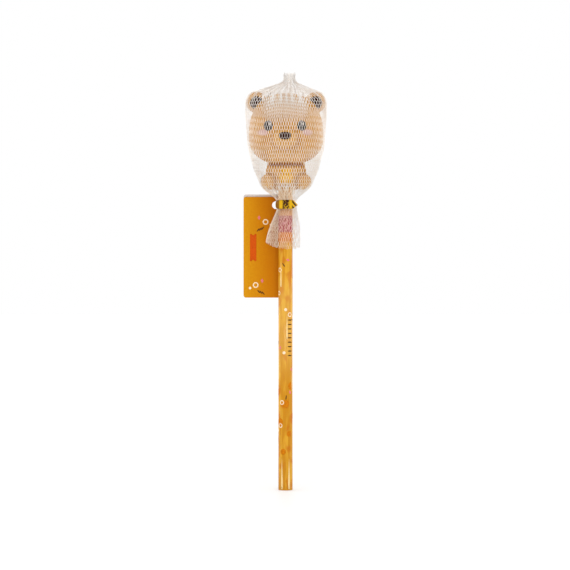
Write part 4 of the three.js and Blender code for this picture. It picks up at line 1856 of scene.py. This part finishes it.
@dataclass
class HangTag:
    """The folded card tag: two leaves, the fold that joins them, and a printed front."""

    left: float = -21.95
    right: float = 2.05
    bottom: float = 100.0
    top: float = 152.7
    back_rise: float = 1.3
    front_face: float = 4.75
    back_face: float = 5.75
    card: float = 0.35
    fold_steps: int = 12
    ink_height: float = 0.03
    label_place: Spot = (-16.9, 126.2)
    label_half: Spot = (1.68, 7.6)
    label_notch: float = 1.2
    # Where the two clusters of motifs sit, and which way each faces.
    clusters: tuple[tuple[float, float, int], ...] = ((-15.6, 106.6, 1), (-10.4, 139.6, -1))

    def build(self, nodes: dict[str, bpy.types.Object]) -> None:
        """Dresses the leaves and builds the fold and the print.

        Args:
            nodes: The CAD nodes by name.
        """
        for leaf, printed_side in (("front", -1.0), ("back", 1.0)):
            card = CoatedCard(f"coated_card_{leaf}", printed_side, self.left, self.right)
            dress_node(nodes[f"tag_{leaf}_leaf"], card)
        fold = self.fold()
        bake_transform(fold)
        seat(fold)
        print_pieces("tag", self.prints(), "tag_front")

    def fold(self) -> bpy.types.Object:
        """Returns the half-round fold between the leaves."""
        middle = (self.front_face + self.back_face) / 2
        outer = (self.back_face - self.front_face) / 2
        turns = [math.pi * (k / self.fold_steps - 0.5) for k in range(self.fold_steps + 1)]
        section = [
            (radius * math.cos(turn), radius * math.sin(turn))
            for radius, way in ((outer, turns), (outer - self.card, turns[::-1]))
            for turn in way
        ]
        ends = (self.bottom + self.back_rise, self.top)
        points = [(self.right + x, middle + y, z) for z in ends for x, y in section]
        count = len(section)
        faces = grid_faces(len(ends), count)
        for k in range(self.fold_steps):
            strip = (k, k + 1, count - 2 - k, count - 1 - k)
            faces += [strip[::-1], tuple(i + count for i in strip)]
        data = MeshData()
        data.add(points, faces)
        card = CoatedCard("coated_card_fold", -1.0, self.left, self.right)
        return data.object("tag_fold", card)

    def prints(self) -> dict[Ink, MeshData]:
        """Returns the front leaf's label and small motifs, by ink."""
        found = {ink: MeshData() for ink in (Ink.CREAM, Ink.UMBER, Ink.CORAL, Ink.VERMILION)}
        self.stamp(found[Ink.VERMILION], Patch(self.label_rim, steps=80), *self.label_place)
        for x, z, flip in self.clusters:
            self.stamp(found[Ink.CREAM], motif_patch(Motif.RING, 1.5), x, z)
            self.stamp(found[Ink.CORAL], motif_patch(Motif.DIAMOND, 1.2), x + flip * 3.4, z + 2.2)
            self.stamp(found[Ink.CREAM], motif_patch(Motif.DOT, 0.7), x - flip * 2.9, z - 1.6)
            for k in range(3):
                dash = motif_patch(Motif.DASH, 1.15, math.radians(40 * flip))
                spot = (x + flip * (1.6 + 1.15 * k), z - 3.4 - 0.4 * k)
                self.stamp(found[Ink.UMBER], dash, *spot)
        return found

    def label_rim(self, angle: float) -> Spot:
        """Returns the rim of the label: an upright strip with notched ends.

        Args:
            angle: The direction from the label's middle, in radians.

        Returns:
            The rim's place across and along the label, in mm.
        """
        half_u, half_v = self.label_half
        u, v = math.cos(angle), math.sin(angle)
        reach = min(half_u / max(abs(u), TINY), half_v / max(abs(v), TINY))
        u, v = u * reach, v * reach
        if math.isclose(abs(v), half_v, abs_tol=1e-6):
            v -= math.copysign(self.label_notch * (1 - abs(u) / half_u), v)
        return u, v

    def stamp(self, data: MeshData, patch: Patch, x: float, z: float) -> None:
        """Lays a flat shape on the front leaf.

        Args:
            data: Where the shape goes.
            patch: The shape.
            x: Its middle.
            z: Its middle height.
        """
        upper, lower = self.front_face - self.ink_height, self.front_face + self.ink_height
        patch.into(data, lambda u, v, _: ((x + u, upper, z + v), (x + u, lower, z + v)))


@dataclass(frozen=True)
class Softbox:
    """A soft panel of light that faces a point on the barrel's line."""

    name: str
    angle: float
    away: float = 480.0
    height: float = 260.0
    aim: float = 260.0
    width: float = 100.0
    tall: float = 520.0
    radiance: float = 1.0

    def build(self) -> None:
        """Sets up the panel, unseen by the camera itself."""
        lamp = bpy.data.lights.new(self.name, "AREA")
        lamp.shape = "RECTANGLE"
        lamp.size, lamp.size_y = self.width * MM, self.tall * MM
        lamp.energy = self.radiance * math.pi * lamp.size * lamp.size_y
        panel = bpy.data.objects.new(self.name, lamp)
        panel.visible_camera = False
        turn = math.radians(self.angle)
        place = Vector((math.sin(turn) * self.away, -math.cos(turn) * self.away, self.height)) * MM
        panel.location = place
        way = Vector((0.0, 0.0, self.aim * MM)) - place
        panel.rotation_euler = way.to_track_quat("-Z", "Y").to_euler()
        bpy.context.scene.collection.objects.link(panel)


@dataclass
class Studio:
    """The white set: floor, soft light all round, softboxes, and the camera."""

    camera_back: float = 1030.0
    camera_height: float = 106.6
    camera_side: float = -0.25
    view_degrees: float = 16.4
    floor_half: float = 6000.0
    floor_drop: float = 0.05
    surround: float = 1.0
    softboxes: tuple[Softbox, ...] = (
        Softbox("overhead_softbox", 0.0, 220.0, 600.0, 150.0, 320.0, 320.0, 1.8),
        Softbox("low_reflector", 0.0, 420.0, 32.0, 160.0, 420.0, 60.0, 3.6),
        Softbox("front_softbox_left", -58.0),
        Softbox("front_softbox_right", 58.0),
        Softbox("rim_softbox_left", -120.0, width=160.0, radiance=1.8),
        Softbox("rim_softbox_right", 120.0, width=160.0, radiance=1.8),
    )

    def build(self) -> None:
        """Builds the set, its lights and the camera."""
        self.floor()
        self.light()
        self.camera()
        bpy.context.scene.view_settings.view_transform = "Standard"
        LOG.info("studio: floor, surround, softboxes and camera")

    def floor(self) -> None:
        """Lays the floor."""
        data = MeshData()
        half, z = self.floor_half, -self.floor_drop
        corners = [(-half, -half, z), (half, -half, z), (half, half, z), (-half, half, z)]
        data.add(corners, [(0, 1, 2, 3)])
        data.object("studio_floor", MattPaper("matt_white_paper"))

    def light(self) -> None:
        """Sets the white surround and the softboxes."""
        world = bpy.data.worlds.new("white_surround")
        world.use_nodes = True
        shade = world.node_tree.nodes["Background"]
        white = {"Color": linear("#FFFFFF"), "Strength": self.surround}
        set_inputs(world.node_tree, shade, white)
        bpy.context.scene.world = world
        for softbox in self.softboxes:
            softbox.build()

    def camera(self) -> None:
        """Sets the camera level with the object's middle, straight in front."""
        data = bpy.data.cameras.new("camera")
        data.sensor_width = 36.0
        data.lens = data.sensor_width / 2 / math.tan(math.radians(self.view_degrees) / 2)
        camera = bpy.data.objects.new("camera", data)
        camera.location = Vector((self.camera_side, -self.camera_back, self.camera_height)) * MM
        camera.rotation_euler = (math.pi / 2, 0.0, 0.0)
        bpy.context.scene.collection.objects.link(camera)
        bpy.context.scene.camera = camera


def main() -> None:
    """Builds every sub-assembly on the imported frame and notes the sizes."""
    logging.basicConfig(level=logging.INFO, format="%(name)s: %(message)s")
    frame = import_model()
    nodes = frame["nodes"]
    Studio().build()
    Pencil().build(nodes)
    FoamBear().build()
    TieBand().build()
    NetBag().build(nodes["net_bag"])
    HangTag().build(nodes)


if __name__ == "__main__":
    main()
